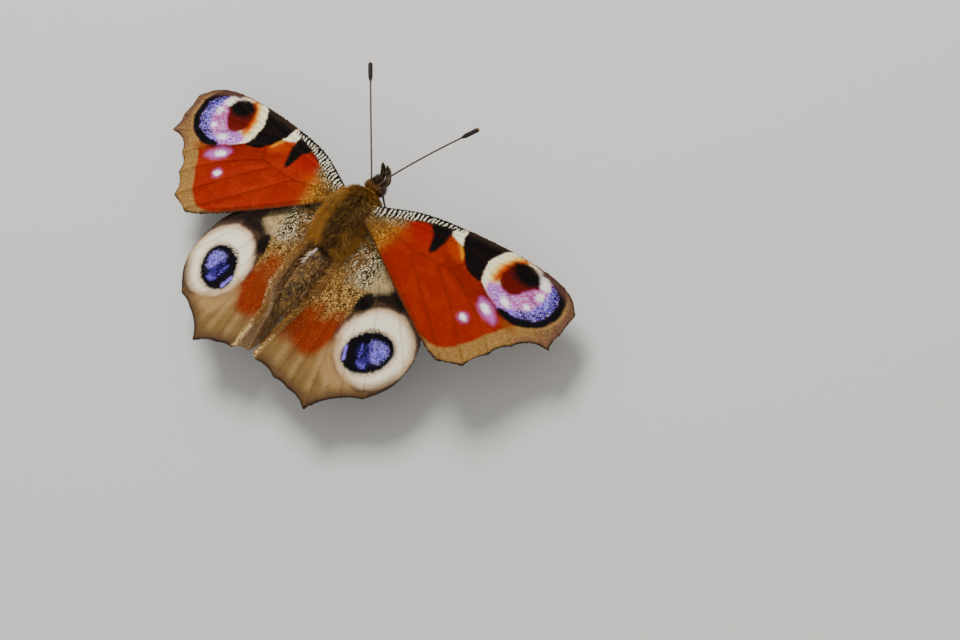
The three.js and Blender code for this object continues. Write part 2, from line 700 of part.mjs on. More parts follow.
addPart("abdomen", solidOf(loft(abdomenShape)), finishes.hair);
addPart("head", head, finishes.dark);
addPart("proboscis", tongue(), finishes.dark);
for (const [name, side] of [["left", -1], ["right", 1]]) {
  addPart(`eye_${name}`, eye(side), finishes.eye);
  addPart(`palp_${name}`, palp(side), finishes.scales);
  addPart(`antenna_${name}`, antenna(side), finishes.dark);
  addPart(`forewing_${name}`, forewingOn(side, pose[`forewing_${name}`]), finishes.rust);
  addPart(`hindwing_${name}`, hindwingOn(side, pose[`hindwing_${name}`]), finishes.brown);
  addPart(`foreleg_${name}`, foldedLeg(side), finishes.scales);
  addPart(`midleg_${name}`, walkingLeg(side, midJoints), finishes.scales);
  addPart(`hindleg_${name}`, walkingLeg(side, hindJoints), finishes.scales);
}
addPart("thorax", hairyThorax([...solids]), finishes.hair);

// The middle of the footprint of the whole goes over the origin.
const extent = new THREE.Box3().setFromObject(butterfly);
const middleOfExtent = extent.getCenter(new THREE.Vector3());
butterfly.position.set(-middleOfExtent.x, -middleOfExtent.y, standingHeight);

export default butterfly;
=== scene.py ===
# %% [markdown]
# # A peacock butterfly, life size
#
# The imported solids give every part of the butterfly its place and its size. This lesson dresses them, from
# the camera to the last hair: thin wings under thousands of scales, a furry body, faceted eyes, ringed
# feelers and jointed legs. Every shape is a short list of sizes and a function, so the same ideas can be
# used for any other insect.

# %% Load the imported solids
import math
import bmesh
import bpy
import numpy as np
from mathutils import Matrix, Vector
from mathutils.geometry import delaunay_2d_cdt


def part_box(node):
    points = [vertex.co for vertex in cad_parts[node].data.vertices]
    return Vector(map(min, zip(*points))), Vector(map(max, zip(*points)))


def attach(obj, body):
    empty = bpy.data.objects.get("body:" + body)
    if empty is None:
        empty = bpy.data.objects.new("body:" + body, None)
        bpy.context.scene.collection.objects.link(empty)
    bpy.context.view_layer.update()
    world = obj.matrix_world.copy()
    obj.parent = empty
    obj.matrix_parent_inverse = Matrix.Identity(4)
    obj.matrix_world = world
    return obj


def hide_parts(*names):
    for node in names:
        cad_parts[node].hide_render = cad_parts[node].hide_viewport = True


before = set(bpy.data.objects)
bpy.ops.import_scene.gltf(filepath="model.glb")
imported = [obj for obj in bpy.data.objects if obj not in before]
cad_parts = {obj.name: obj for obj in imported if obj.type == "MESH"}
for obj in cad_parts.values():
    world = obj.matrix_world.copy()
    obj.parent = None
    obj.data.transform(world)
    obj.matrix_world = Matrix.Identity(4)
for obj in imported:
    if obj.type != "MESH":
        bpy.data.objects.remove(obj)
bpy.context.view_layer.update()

# %% [markdown]
# ## Millimetres about the body
#
# A butterfly is easiest to draw about its own axis, in millimetres, with y towards the head, x to its right
# and z up. The solids were set down with the middle of their footprint over the origin, so the axis is
# found again from the head, whose front is 7.9 mm ahead of the middle of the body. One helper then turns
# every point into metres. This keeps bare conversions out of the rest of the lesson.

# %% From the body's millimetres to the scene's metres
MM = 0.001
head_front = 7.9
standing_height = 7.0
head_low, head_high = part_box("head")
axis_place = np.array([
    (head_low.x + head_high.x) / 2 / MM,
    head_high.y / MM - head_front,
    standing_height,
])


def in_scene(points):
    return (np.asarray(points, float) + axis_place) * MM


print("the body's axis is at", axis_place.round(3))

# %% [markdown]
# ## The camera
#
# The photo was taken from above and to the butterfly's right, a little behind the wing, with the picture
# turned so that the head points to the upper right. Three angles say this. The lens is long, which keeps the
# near and the far wing almost the same size. The camera is then turned a few degrees, until the body's axis
# falls where it is in the photo, instead of shifting the lens.

# %% Camera
image_width, image_height = 960, 640
camera_distance = 300
pixels_per_mm = 8.078
axis_in_photo = (342.3, 233.0)
azimuth, elevation, roll = math.radians(73.386), math.radians(56.312), math.radians(-36.606)

towards_camera = Vector((
    math.sin(azimuth) * math.cos(elevation),
    -math.cos(azimuth) * math.cos(elevation),
    math.sin(elevation),
))
level = Vector((math.cos(azimuth), math.sin(azimuth), 0))
upright = towards_camera.cross(level)
picture_right = level * math.cos(roll) + upright * math.sin(roll)
picture_up = towards_camera.cross(picture_right)

focal_pixels = pixels_per_mm * camera_distance
aim = Vector((
    (axis_in_photo[0] - image_width / 2) / focal_pixels,
    (image_height / 2 - axis_in_photo[1]) / focal_pixels,
    -1,
))
turn = Vector((0, 0, -1)).rotation_difference(aim).to_matrix()
axes = Matrix((picture_right, picture_up, towards_camera))
camera_data = bpy.data.cameras.new("camera")
camera_data.sensor_width = 36
camera_data.lens = focal_pixels * camera_data.sensor_width / image_width
camera_data.clip_start = 10 * MM
camera = bpy.data.objects.new("camera", camera_data)
bpy.context.scene.collection.objects.link(camera)
place = Vector(in_scene([0, 0, 0])) + towards_camera * camera_distance * MM
camera.matrix_world = Matrix.Translation(place) @ (turn @ axes).transposed().to_4x4()
bpy.context.scene.camera = camera
print("lens in mm:", round(camera_data.lens, 1))

# %% [markdown]
# ## Colours and materials
#
# Screen colours aren't linear, and light is, so every colour is turned into linear light before use. Most
# pieces carry their markings as a colour on each point, which the material reads by name. The material adds
# what is finer than the points: a slight unevenness of colour, and a bump that catches the light. This way
# the markings stay with the mesh, and no picture is needed.

# %% Colours
deepening = 1.18


def tint(red, green, blue):
    """A colour as it looks on a screen, made a little deeper, since the studio's film pales it."""
    value = np.array([red, green, blue]) / 255
    # The screen's own curve: straight near black, and a power above it.
    linear = np.where(value <= 0.04045, value / 12.92, ((value + 0.055) / 1.055) ** 2.4)
    return linear ** deepening


def soft_step(value):
    """From 0 to 1, starting and ending gently."""
    value = np.clip(value, 0, 1)
    return value * value * (3 - 2 * value)


print("the red of the wings in linear light:", tint(162, 44, 8).round(3))


# %% A material that reads the markings
def marked_material(name, roughness, shine=0.35, sheen=0.0, coat=0.0, grain_size=0.2, bump_height=0.02,
                    unevenness=0.2):
    material = bpy.data.materials.new(name)
    material.use_nodes = True
    nodes, links = material.node_tree.nodes, material.node_tree.links
    shader = nodes["Principled BSDF"]
    finish = {"Roughness": roughness, "Specular IOR Level": shine, "Coat Weight": coat,
              "Sheen Weight": sheen, "Sheen Roughness": 0.4}
    for setting, value in finish.items():
        shader.inputs[setting].default_value = value
    markings = nodes.new("ShaderNodeAttribute")
    markings.attribute_name = "Markings"
    place = nodes.new("ShaderNodeTexCoord")
    grain = nodes.new("ShaderNodeTexNoise")
    grain.inputs["Scale"].default_value = 1 / (grain_size * MM)
    grain.inputs["Detail"].default_value = 3
    links.new(place.outputs["Object"], grain.inputs["Vector"])
    brightness = nodes.new("ShaderNodeMapRange")
    brightness.inputs["To Min"].default_value = 1 - unevenness
    brightness.inputs["To Max"].default_value = 1 + unevenness
    links.new(grain.outputs["Fac"], brightness.inputs["Value"])
    shaded = nodes.new("ShaderNodeVectorMath")
    shaded.operation = "SCALE"
    links.new(markings.outputs["Color"], shaded.inputs[0])
    links.new(brightness.outputs["Result"], shaded.inputs["Scale"])
    links.new(shaded.outputs["Vector"], shader.inputs["Base Color"])
    bump = nodes.new("ShaderNodeBump")
    bump.inputs["Distance"].default_value = bump_height * MM
    bump.inputs["Strength"].default_value = 0.6
    links.new(grain.outputs["Fac"], bump.inputs["Height"])
    links.new(bump.outputs["Normal"], shader.inputs["Normal"])
    print("material:", name)
    return material


# %% [markdown]
# ## From points to a piece
#
# Every piece here starts as a form: its points, its faces, a colour for each point, and its unwrap, all made
# with arrays, which is quick even for a hundred thousand faces. The helper turns a form into a mesh and lets
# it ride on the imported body. The unwrap is named OFBake, and it says where each face lies when the finished
# material is written out as a picture.

# %% A form into a mesh
def piece(name, form, material, stands_for=(), smooth=True):
    points, faces, colours, unwrap = form
    faces = np.asarray(faces, np.int32)
    sides = faces.shape[1]
    mesh = bpy.data.meshes.new(name)
    mesh.vertices.add(len(points))
    mesh.vertices.foreach_set("co", in_scene(points).astype(np.float32).ravel())
    mesh.loops.add(faces.size)
    mesh.loops.foreach_set("vertex_index", faces.ravel())
    mesh.polygons.add(len(faces))
    mesh.polygons.foreach_set("loop_start", np.arange(0, faces.size, sides, dtype=np.int32))
    mesh.polygons.foreach_set("use_smooth", np.full(len(faces), smooth))
    markings = mesh.color_attributes.new("Markings", "FLOAT_COLOR", "POINT")
    solid_colours = np.ones((len(points), 4), np.float32)
    solid_colours[:, :3] = colours
    markings.data.foreach_set("color", solid_colours.ravel())
    # The unwrap has a place for each point, or where there is a seam, for each corner of each face.
    corners = unwrap[faces.ravel()] if unwrap.ndim == 2 else unwrap.reshape(-1, 2)
    layer = mesh.uv_layers.new(name="OFBake")
    layer.uv.foreach_set("vector", corners.astype(np.float32).ravel())
    mesh.update()
    mesh.materials.append(material)
    made = bpy.data.objects.new(name, mesh)
    bpy.context.scene.collection.objects.link(made)
    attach(made, "root")
    if stands_for:
        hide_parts(*stands_for)
    print(name, len(faces), "faces")


# %% Small helpers for directions
def unit(vectors):
    """The same directions, each one long."""
    return vectors / np.linalg.norm(vectors, axis=-1, keepdims=True)


def upright_to(ahead):
    """The direction square to each given one that points up the most."""
    return unit(np.array([0, 0, 1]) - ahead * ahead[:, 2:])


def headings(angle):
    """Directions on the flat drawing, from their angles."""
    return np.stack([np.cos(angle), np.sin(angle)], 1)


print("45 degrees as a direction:", headings(np.radians([45.0])).round(3))

# %% [markdown]
# ## Curves and clouds
#
# Two tools are used all through the lesson. The first runs a smooth curve through a few points and cuts it
# into even steps, for outlines, veins and feelers. The second is a soft random cloud over the plane, made
# from random values at the corners of a grid, for everything on an animal that isn't quite even.

# %% A smooth curve in even steps
samples_between_points = 40


def curve_through(points, step):
    points = np.asarray(points, float)
    last = len(points) - 1
    t = np.linspace(0, last, samples_between_points * last + 1)
    i = np.minimum(t.astype(int), last - 1)
    w = (t - i)[:, None]
    start, end = points[i], points[i + 1]
    leaving = (end - points[np.maximum(i - 1, 0)]) / 2
    arriving = (points[np.minimum(i + 2, last)] - start) / 2
    bend = (2 * start - 2 * end + leaving + arriving) * w + 3 * end - 3 * start - 2 * leaving - arriving
    dense = bend * w * w + leaving * w + start
    run = np.concatenate([[0], np.cumsum(np.linalg.norm(np.diff(dense, axis=0), axis=1))])
    even = np.linspace(0, run[-1], max(1, round(run[-1] / step)) + 1)
    return np.stack([np.interp(even, run, dense[:, k]) for k in range(points.shape[1])], 1)


print("points on a curve through three:", len(curve_through([(0, 0), (5, 5), (10, 0)], 0.5)))


# %% A soft random cloud
def cloud(x, y, size, seed):
    """Values from 0 to 1, the same for the same place and seed; size is the width of a puff."""
    u, v = np.asarray(x) / size, np.asarray(y) / size
    i, j = np.floor(u).astype(np.int64), np.floor(v).astype(np.int64)
    fu, fv = soft_step(u - i), soft_step(v - j)

    def corner(i, j):
        # Large odd numbers mix the place and the seed until the last bits look random.
        mixed = (i * 374761393 + j * 668265263 + seed * 1274126177) & 0x7FFFFFFF
        mixed = ((mixed ^ (mixed >> 13)) * 1103515245) & 0x7FFFFFFF
        return ((mixed ^ (mixed >> 16)) & 0xFFFF) / 0xFFFF

    low = corner(i, j) * (1 - fu) + corner(i + 1, j) * fu
    high = corner(i, j + 1) * (1 - fu) + corner(i + 1, j + 1) * fu
    return low * (1 - fv) + high * fv


print("the cloud at three places:", cloud([0.2, 0.7, 1.4], [0, 0, 0], 1.0, 1).round(2))

# %% Distances to a line and to a patch
far_away = 1e9


def from_line(x, y, line):
    """The distance of each point to a line, and how far along the line the nearest place is."""
    nearest = np.full(len(x), far_away)
    along = np.zeros(len(x))
    run = 0.0
    for start, end in zip(line[:-1], line[1:]):
        step = end - start
        length = math.hypot(*step)
        share = np.clip(((x - start[0]) * step[0] + (y - start[1]) * step[1]) / length ** 2, 0, 1)
        distance = np.hypot(x - start[0] - share * step[0], y - start[1] - share * step[1])
        closer = distance < nearest
        nearest[closer] = distance[closer]
        along[closer] = run + share[closer] * length
        run += length
    return nearest, along


def from_patch(x, y, rim):
    """The distance to the rim of a patch, less than nothing inside it."""
    closed = np.vstack([rim, rim[:1]])
    inside = np.zeros(len(x), bool)
    for start, end in zip(closed[:-1], closed[1:]):
        crosses = (start[1] > y) != (end[1] > y)
        with np.errstate(divide="ignore", invalid="ignore"):
            at = start[0] + (end[0] - start[0]) * (y - start[1]) / (end[1] - start[1])
        inside ^= crosses & (x < at)
    distance = from_line(x, y, closed)[0]
    return np.where(inside, -distance, distance)


unit_square = np.array([(0, 0), (1, 0), (1, 1), (0, 1)])
print("from the middle of a square to its rim:", from_patch(np.array([0.5]), np.array([0.5]), unit_square))

# %% [markdown]
# ## The shape of the wings
#
# A butterfly's wing is a membrane stretched between veins. Both pairs are drawn once, from above and on the
# right side, with the root at the origin: a smooth front edge, a margin where each vein ends in a tooth, and
# a smooth back edge. The veins are lines of a few points. The same drawing and the same angles as in the
# solids are used, so the thin wings lie in the middle of the thick ones.

# %% The margin with its teeth
def toothed_edge(teeth, step):
    """Each tooth is its place, how hollow the edge is up to the next tooth, and where it is deepest."""
    edge = []
    for (x0, y0, hollow, deepest), following in zip(teeth[:-1], teeth[1:]):
        x1, y1 = following[:2]
        start, end = np.array([x0, y0]), np.array([x1, y1])
        length = math.hypot(x1 - x0, y1 - y0)
        inwards = np.array([y1 - y0, x0 - x1]) / length
        bend = start + (end - start) * deepest + 2 * hollow * inwards
        share = np.linspace(0, 1, max(4, round(length / step)) + 1)[:-1, None]
        edge.append(start * (1 - share) ** 2 + 2 * bend * share * (1 - share) + end * share ** 2)
    return np.vstack(edge)


print("points along one tooth:", len(toothed_edge([(0, 0, 0.3, 0.5), (2, 0)], 0.2)))


# %% Forewing
forewing = {
    "front": [
        (-1.6, -0.6), (0, 0.5), (4.1, 4.5), (9, 7.6), (15, 10.6), (20.8, 12.75), (24.4, 13.05), (27, 12),
    ],
    "teeth": [
        (27, 12, 0.1, 0.5), (28.15, 9.2, 0.3, 0.5), (29.25, 6.75, 0.85, 0.6), (26.25, 3.45, 0.45, 0.5),
        (25.65, 0.7, 0.4, 0.5), (25.2, -2.6, 0.15, 0.5), (22.7, -4.8),
    ],
    "back": [(22.7, -4.8), (19.7, -4.9), (14.3, -4.25), (6.7, -3.05), (2.5, -2.3), (-1.6, -1.9)],
    "veins": [
        [(0.6, 0.3), (4.5, 3.2), (9, 6.1), (12.5, 8.1), (16.4, 10.6)],
        [(-1.5, -1.3), (0.4, -0.3), (4.5, 2.4), (9, 4.9), (13.2, 6.9)],
        [(10.6, 5.7), (14.2, 8.2), (18.6, 11.2)],
        [(12.2, 6.5), (16, 8.6), (21.2, 11.9)],
        [(13.2, 6.9), (17, 8), (20, 8.6), (24, 8.9), (27.7, 9.1)],
        [(20, 8.6), (23.3, 10.3), (26.4, 11.8)],
        [(13.2, 6.9), (18, 6.9), (23.3, 6.9), (28.6, 6.8)],
        [(13.5, 5.2), (17.5, 5.1), (22, 4.7), (25.8, 3.6)],
        [(13.2, 6.9), (13.5, 5.2), (13.2, 3.2)],
        [(13.2, 3.2), (17.5, 2.8), (22, 1.9), (25.3, 0.8)],
        [(-1.5, -1.4), (0.4, -0.9), (4.5, 0), (8.5, 1), (13.2, 3.2)],
        [(11.4, 2.2), (16, 0.9), (21, -0.9), (24.8, -2.4)],
        [(7.6, 0.75), (12.5, -1), (18, -2.8), (22.7, -4.3)],
        [(-1.5, -1.6), (0.6, -1.6), (5, -2), (10, -2.9), (15, -3.7), (20, -4.4)],
    ],
    "root": np.array([2.5, 4.4, 2.21]),
    "fans_from": (-3.0, -1.0),
}
print("veins of the forewing:", len(forewing["veins"]))

# %% Hindwing
hindwing = {
    "front": [
        (-0.9, 0.6), (0.8, 1.9), (4.5, 3), (10, 2.5), (14.3, 0.5), (17, -1.9), (18.6, -4.5), (19.1, -7.3),
        (18.7, -9.5), (17.95, -11.5),
    ],
    "teeth": [
        (17.95, -11.5, 0.15, 0.5), (15.95, -13.5, 0.4, 0.55), (13.9, -18.1, 0.4, 0.4),
        (10.3, -18.1, 0.2, 0.5), (7.9, -18.7, 0.35, 0.5), (4.2, -19.3),
    ],
    "back": [(4.2, -19.3), (2.4, -18.4), (1.1, -15), (0.6, -11), (0.5, -7), (0.1, -3), (-0.9, -1.2)],
    "veins": [
        [(-0.9, 0.1), (1, 0.5), (5, 1.3), (10, 1.2), (15.6, -1.1)],
        [(2.6, 0.8), (7.5, -0.4), (13, -2.2), (18.5, -5.4)],
        [(4.7, 0.3), (9.5, -3.3), (14.2, -7.7), (17.6, -11.1)],
        [(5.4, -2.3), (9, -6.2), (12.6, -10.2), (15.6, -13.1)],
        [(5.6, -4.4), (8.4, -9), (11.4, -13.8), (13.7, -17.5)],
        [(5.6, -4.4), (7.4, -10), (8.9, -14.2), (10.2, -17.7)],
        [(3.6, -3.2), (5.4, -9.4), (6.7, -14), (7.8, -18.2)],
        [(-0.9, -0.4), (1.1, -0.9), (3.6, -3.2), (5.6, -4.4)],
        [(-0.9, -0.6), (1.1, -3.6), (2.8, -9.5), (3.7, -14.5), (4.3, -18.7)],
    ],
    "root": np.array([2.64, 0.65, 0.94]),
    "fans_from": (-1.0, 3.0),
}
print("veins of the hindwing:", len(hindwing["veins"]))

# %% How each wing is turned
# Lift raises the tip, pitch raises the front edge, and sweep carries the tip forwards.
poses = {
    "forewing_left": {"drawing": forewing, "side": -1, "lift": -6.2, "pitch": 3.7, "sweep": -23},
    "forewing_right": {"drawing": forewing, "side": 1, "lift": -4.6, "pitch": -10.9, "sweep": -17.5},
    "hindwing_left": {"drawing": hindwing, "side": -1, "lift": -8.4, "pitch": -0.2, "sweep": -25.8},
    "hindwing_right": {"drawing": hindwing, "side": 1, "lift": 0.7, "pitch": 4.3, "sweep": -16.5},
}
print("wings:", ", ".join(poses))

# %% [markdown]
# ## How high the veins stand
#
# Each point of a wing needs its distance to the nearest vein, and there are hundreds of thousands of points.
# So the distance is worked out once, on a fine grid over the drawing, and looked up from then on. The
# membrane is raised along the veins and sinks a little between them, as in a kite pulled tight.

# %% Distance to the nearest vein, on a grid
grid_step = 0.08
grid_low = np.array([-4.0, -21.0])
grid_size = (440, 450)
widest_search = 2.0
last_cell = np.array(grid_size) - 1.001


def vein_grid(veins):
    nearest = np.full(grid_size, widest_search)
    for vein in veins:
        line = curve_through(vein, 0.5)
        for start, end in zip(line[:-1], line[1:]):
            low = ((np.minimum(start, end) - widest_search - grid_low) / grid_step).astype(int)
            high = ((np.maximum(start, end) + widest_search - grid_low) / grid_step).astype(int)
            low, high = np.maximum(low, 0), np.minimum(high, grid_size)
            x = grid_low[0] + grid_step * np.arange(low[0], high[0])[:, None]
            y = grid_low[1] + grid_step * np.arange(low[1], high[1])[None, :]
            step = end - start
            share = ((x - start[0]) * step[0] + (y - start[1]) * step[1]) / (step @ step)
            share = np.clip(share, 0, 1)
            distance = np.hypot(x - start[0] - share * step[0], y - start[1] - share * step[1])
            window = nearest[low[0]:high[0], low[1]:high[1]]
            np.minimum(window, distance, out=window)
    return nearest


def look_up(grid, x, y):
    """The grid's value at each point, between the corners of its cell."""
    u = np.clip((x - grid_low[0]) / grid_step, 0, last_cell[0])
    v = np.clip((y - grid_low[1]) / grid_step, 0, last_cell[1])
    i, j = u.astype(int), v.astype(int)
    fu, fv = u - i, v - j
    low = grid[i, j] * (1 - fu) + grid[i + 1, j] * fu
    high = grid[i, j + 1] * (1 - fu) + grid[i + 1, j + 1] * fu
    return low * (1 - fv) + high * fv


def edge_grid(outline):
    """The distance to the outline on the same grid, less than nothing inside it."""
    x, y = np.meshgrid(np.arange(grid_size[0]), np.arange(grid_size[1]), indexing="ij")
    x, y = grid_low[0] + grid_step * x.ravel(), grid_low[1] + grid_step * y.ravel()
    return from_patch(x, y, outline).reshape(grid_size)


print("places on the grid:", grid_size[0] * grid_size[1])


# %% Outlines and vein distances of both drawings
margin_step = 0.22
for drawing in (forewing, hindwing):
    drawing["front_line"] = curve_through(drawing["front"], margin_step)
    drawing["back_line"] = curve_through(drawing["back"], margin_step)
    margin = toothed_edge(drawing["teeth"], margin_step)
    drawing["outline"] = np.vstack([drawing["front_line"][:-1], margin, drawing["back_line"]])
    drawing["vein_distance"] = vein_grid(drawing["veins"])
    drawing["edge_distance"] = edge_grid(drawing["outline"])
    print("outline points:", len(drawing["outline"]))

# %% [markdown]
# ## From the flat drawing to the wing in the air
#
# A point of the drawing is first given the wing's own gentle arch. Then it is turned by the three angles
# and moved to the root. The inner part of a hindwing also turns down beside the abdomen, as it does in
# every resting butterfly: the bend is a short arc of a circle, and the membrane runs on straight below it.

# %% Turn and place
def turn_between(first, second, degrees):
    """A turn that carries one axis towards another."""
    c, s = math.cos(math.radians(degrees)), math.sin(math.radians(degrees))
    matrix = np.eye(3)
    matrix[first, first] = matrix[second, second] = c
    matrix[first, second], matrix[second, first] = -s, s
    return matrix


def turned(lift, pitch, sweep):
    return turn_between(2, 0, -lift) @ turn_between(1, 2, pitch) @ turn_between(0, 1, sweep)


print("a wing lifted by 90 degrees points", (turned(90, 0, 0) @ (1, 0, 0)).round(3))

# %% The fold of a hindwing
fold_distance = 2.95
fold_angle = 88
fold_bend = 0.6
least_angle = 0.6
poses["hindwing_left"]["fold"] = {"closes_behind": -10, "closes": 0.5, "closest": 1.3, "opens": 0}
poses["hindwing_right"]["fold"] = {"closes_behind": -8, "closes": 0.22, "closest": 0.7, "opens": 38}


def bend_line(points, fold):
    """How far from the body's axis the bend is, beside each point."""
    bend_at = fold_distance - fold["closes"] * np.maximum(0, fold["closes_behind"] - points[:, 1])
    return np.maximum(bend_at, fold["closest"])


def folded_down(points, fold):
    behind = -points[:, 1]
    angle = fold_angle * soft_step((behind - 0.2) / 2.2) - fold["opens"] * soft_step((behind - 10.5) / 2.5)
    bend_at = bend_line(points, fold)
    inside = bend_at - points[:, 0]
    bends = (inside > 0) & (angle >= least_angle)
    angle = np.radians(np.where(bends, angle, 90))
    radius = fold_bend / angle
    bent = np.minimum(inside, fold_bend) / radius
    straight = np.maximum(0, inside - fold_bend)
    folded = points.copy()
    folded[:, 0] = bend_at - radius * np.sin(bent) - straight * np.cos(angle)
    folded[:, 2] -= radius * (1 - np.cos(bent)) + straight * np.sin(angle)
    return np.where(bends[:, None], folded, points)


print("folded wings:", [name for name, pose in poses.items() if "fold" in pose])

# %% Where a place on a wing lies on its unwrap
map_width = 70


def on_map(x, y, face=1):
    """The upper face (1) lies on the left half of the unwrap, and the lower one (-1) on the right half."""
    return (np.stack([x, y], 1) - grid_low) / map_width + (0 if face > 0 else 0.5, 0)


print("the wing's root on the unwrap:", on_map(np.zeros(1), np.zeros(1)).round(3))

# %% The middle of a wing in the air, and points lifted off it
vein_height = 0.11
vein_half_width = 0.2
sag_between_veins = 0.11
full_sag_distance = 1.2
billow, billow_size = 0.05, 3.0


def arch(drawing, x, y):
    if drawing is forewing:
        return -0.0008 * x ** 2 - 0.003 * (y - 3) ** 2
    return -0.002 * (x ** 2 + (y + 6) ** 2)


def before_fold(pose, x, y):
    drawing = pose["drawing"]
    flat = np.stack([x, y, arch(drawing, x, y)], 1)
    return flat @ turned(pose["lift"], pose["pitch"], pose["sweep"]).T + drawing["root"]


def inside_fold(pose, x, y):
    """How far inside the bend each place of a wing lies before it is folded, less than nothing outside it."""
    points = before_fold(pose, x, y)
    return bend_line(points, pose["fold"]) - points[:, 0]


def middle_of_wing(pose, x, y):
    points = before_fold(pose, x, y)
    if "fold" in pose:
        points = folded_down(points, pose["fold"])
    return points * np.array([pose["side"], 1, 1])


def on_wing(pose, x, y, height, face=1):
    """Points at a height from the middle of the wing, over its upper face (1) or under its lower one (-1)."""
    small = 0.02
    along_x = middle_of_wing(pose, x + small, y) - middle_of_wing(pose, x - small, y)
    along_y = middle_of_wing(pose, x, y + small) - middle_of_wing(pose, x, y - small)
    upwards = unit(np.cross(along_x, along_y) * pose["side"])
    vein = look_up(pose["drawing"]["vein_distance"], x, y)
    ridge = vein_height * np.exp(-(vein / vein_half_width) ** 2)
    sag = -sag_between_veins * soft_step(vein / full_sag_distance)
    sag += billow * (cloud(x, y, billow_size, 5) - 0.5)
    lifted = sag + face * (height + ridge)
    return middle_of_wing(pose, x, y) + upwards * lifted[:, None]


for name, pose in poses.items():
    tip = np.array(pose["drawing"]["front"][-1:]).T
    print(name, "tip in the air:", middle_of_wing(pose, *tip).round(2))

# %% [markdown]
# ## Painting a wing
#
# The markings of a real wing are a mosaic: each scale has one plain colour, and a soft edge is a place where
# scales of two colours are mixed. The brush works the same way. It knows the places of the scales, and it
# lays one colour after another over a share of them: all of them inside a patch, none outside, and some at
# its edge. For the skin under the scales it lays the average instead. Patches are drawn with a few points.

# %% The brush
coarse_ragged, fine_ragged = 0.14, 0.1
fine_clumps = 0.4


class Brush:
    def __init__(self, x, y, by_scale, seed):
        self.x, self.y = x, y
        self.by_scale = by_scale
        self.random = np.random.default_rng(seed)
        self.colours = np.zeros((len(x), 3))
        self.ragged = coarse_ragged * (cloud(x, y, 0.5, 11) - 0.5)
        self.ragged += fine_ragged * (cloud(x, y, 0.2, 12) - 0.5)

    def blend(self, colour, share):
        """A colour, as it looks on a screen, over a share of what is there."""
        share = np.broadcast_to(np.clip(share, 0, 1), len(self.x))
        self.colours += (tint(*colour) - self.colours) * share[:, None]

    def scatter(self, colour, share):
        """A soft mix, in which each scale takes a little more or less of the colour than its neighbours."""
        if self.by_scale:
            share = share + 2 * (self.random.random(len(self.x)) - 0.5) * share * (1 - share)
        self.blend(colour, share)

    def sprinkle(self, colour, share, strength):
        """Single scales of another colour."""
        if self.by_scale:
            share = self.random.random(len(self.x)) < share
        self.blend(colour, strength * share)

    def clumps(self, size, seed, share):
        """Little groups of scales that cover about the given share of a place; small ones are a dither."""
        field = 0.75 * cloud(self.x, self.y, size, seed) + 0.25 * cloud(self.x, self.y, size / 2, seed + 1)
        if self.by_scale and size < fine_clumps:
            field = 0.28 * field + 0.72 * self.random.random(len(self.x))
            return soft_step((field - 0.5) * 14 + (share - 0.5) * 11 + 0.5)
        return soft_step((field - 0.5) * 9 + (share - 0.5) * 5 + 0.5)

    def flecks(self, colour, seed, share, within=1.0, size=0.16):
        """Clumps of a colour, kept within a place."""
        self.blend(colour, within * self.clumps(size, seed, share))

    def distance(self, rim):
        """The distance to the rim of a patch, worked out only for the scales near it."""
        rim = curve_through(np.vstack([rim, rim[:1]]), 0.4)[:-1]
        low, high = rim.min(0) - 2, rim.max(0) + 2
        near = (self.x > low[0]) & (self.x < high[0]) & (self.y > low[1]) & (self.y < high[1])
        distance = np.full(len(self.x), 9.0)
        distance[near] = from_patch(self.x[near], self.y[near], rim)
        return distance

    def patch(self, rim, softness=0.35):
        return self.inside(self.distance(rim), softness)

    def inside(self, distance, softness):
        return soft_step(0.5 - (distance + self.ragged) / softness)

    def oval(self, x, y, wide, high, turn=0.0, softness=0.35):
        c, s = math.cos(math.radians(turn)), math.sin(math.radians(turn))
        u = ((self.x - x) * c + (self.y - y) * s) / wide
        v = ((self.y - y) * c - (self.x - x) * s) / high
        return self.inside((np.hypot(u, v) - 1) * min(wide, high), softness)

    def stroke(self, points, half_width, softness=0.3):
        line = curve_through(points, 0.4)
        return self.inside(from_line(self.x, self.y, line)[0] - half_width, softness)

    def marked(self, colour, rim, softness=0.35, share=1.0):
        self.scatter(colour, share * self.patch(rim, softness))

    def dotted(self, colour, x, y, wide, high, turn=0.0, softness=0.35, share=1.0):
        self.scatter(colour, share * self.oval(x, y, wide, high, turn, softness))

    def drawn(self, colour, points, half_width, softness=0.3, share=1.0):
        self.scatter(colour, share * self.stroke(points, half_width, softness))


def look_at(paint, x, y):
    """What a painting lays at one place, in linear light."""
    brush = Brush(np.array([x]), np.array([y]), by_scale=False, seed=0)
    paint(brush)
    return brush.colours[0].round(3)


print("a share of one colour:", look_at(lambda brush: brush.blend((255, 255, 255), 0.5), 0.0, 0.0))


# %% [markdown]
# ## The forewing's markings
#
# The markings are laid in the order in which they cover each other: the red field, the black and cream
# patches, the eye-spot, the brown margin and last the barred front edge. Each is a patch, an oval or a stroke
# through a few points in the wing's own millimetres. That way one marking can be moved or recoloured without
# touching the others, and both forewings share it.

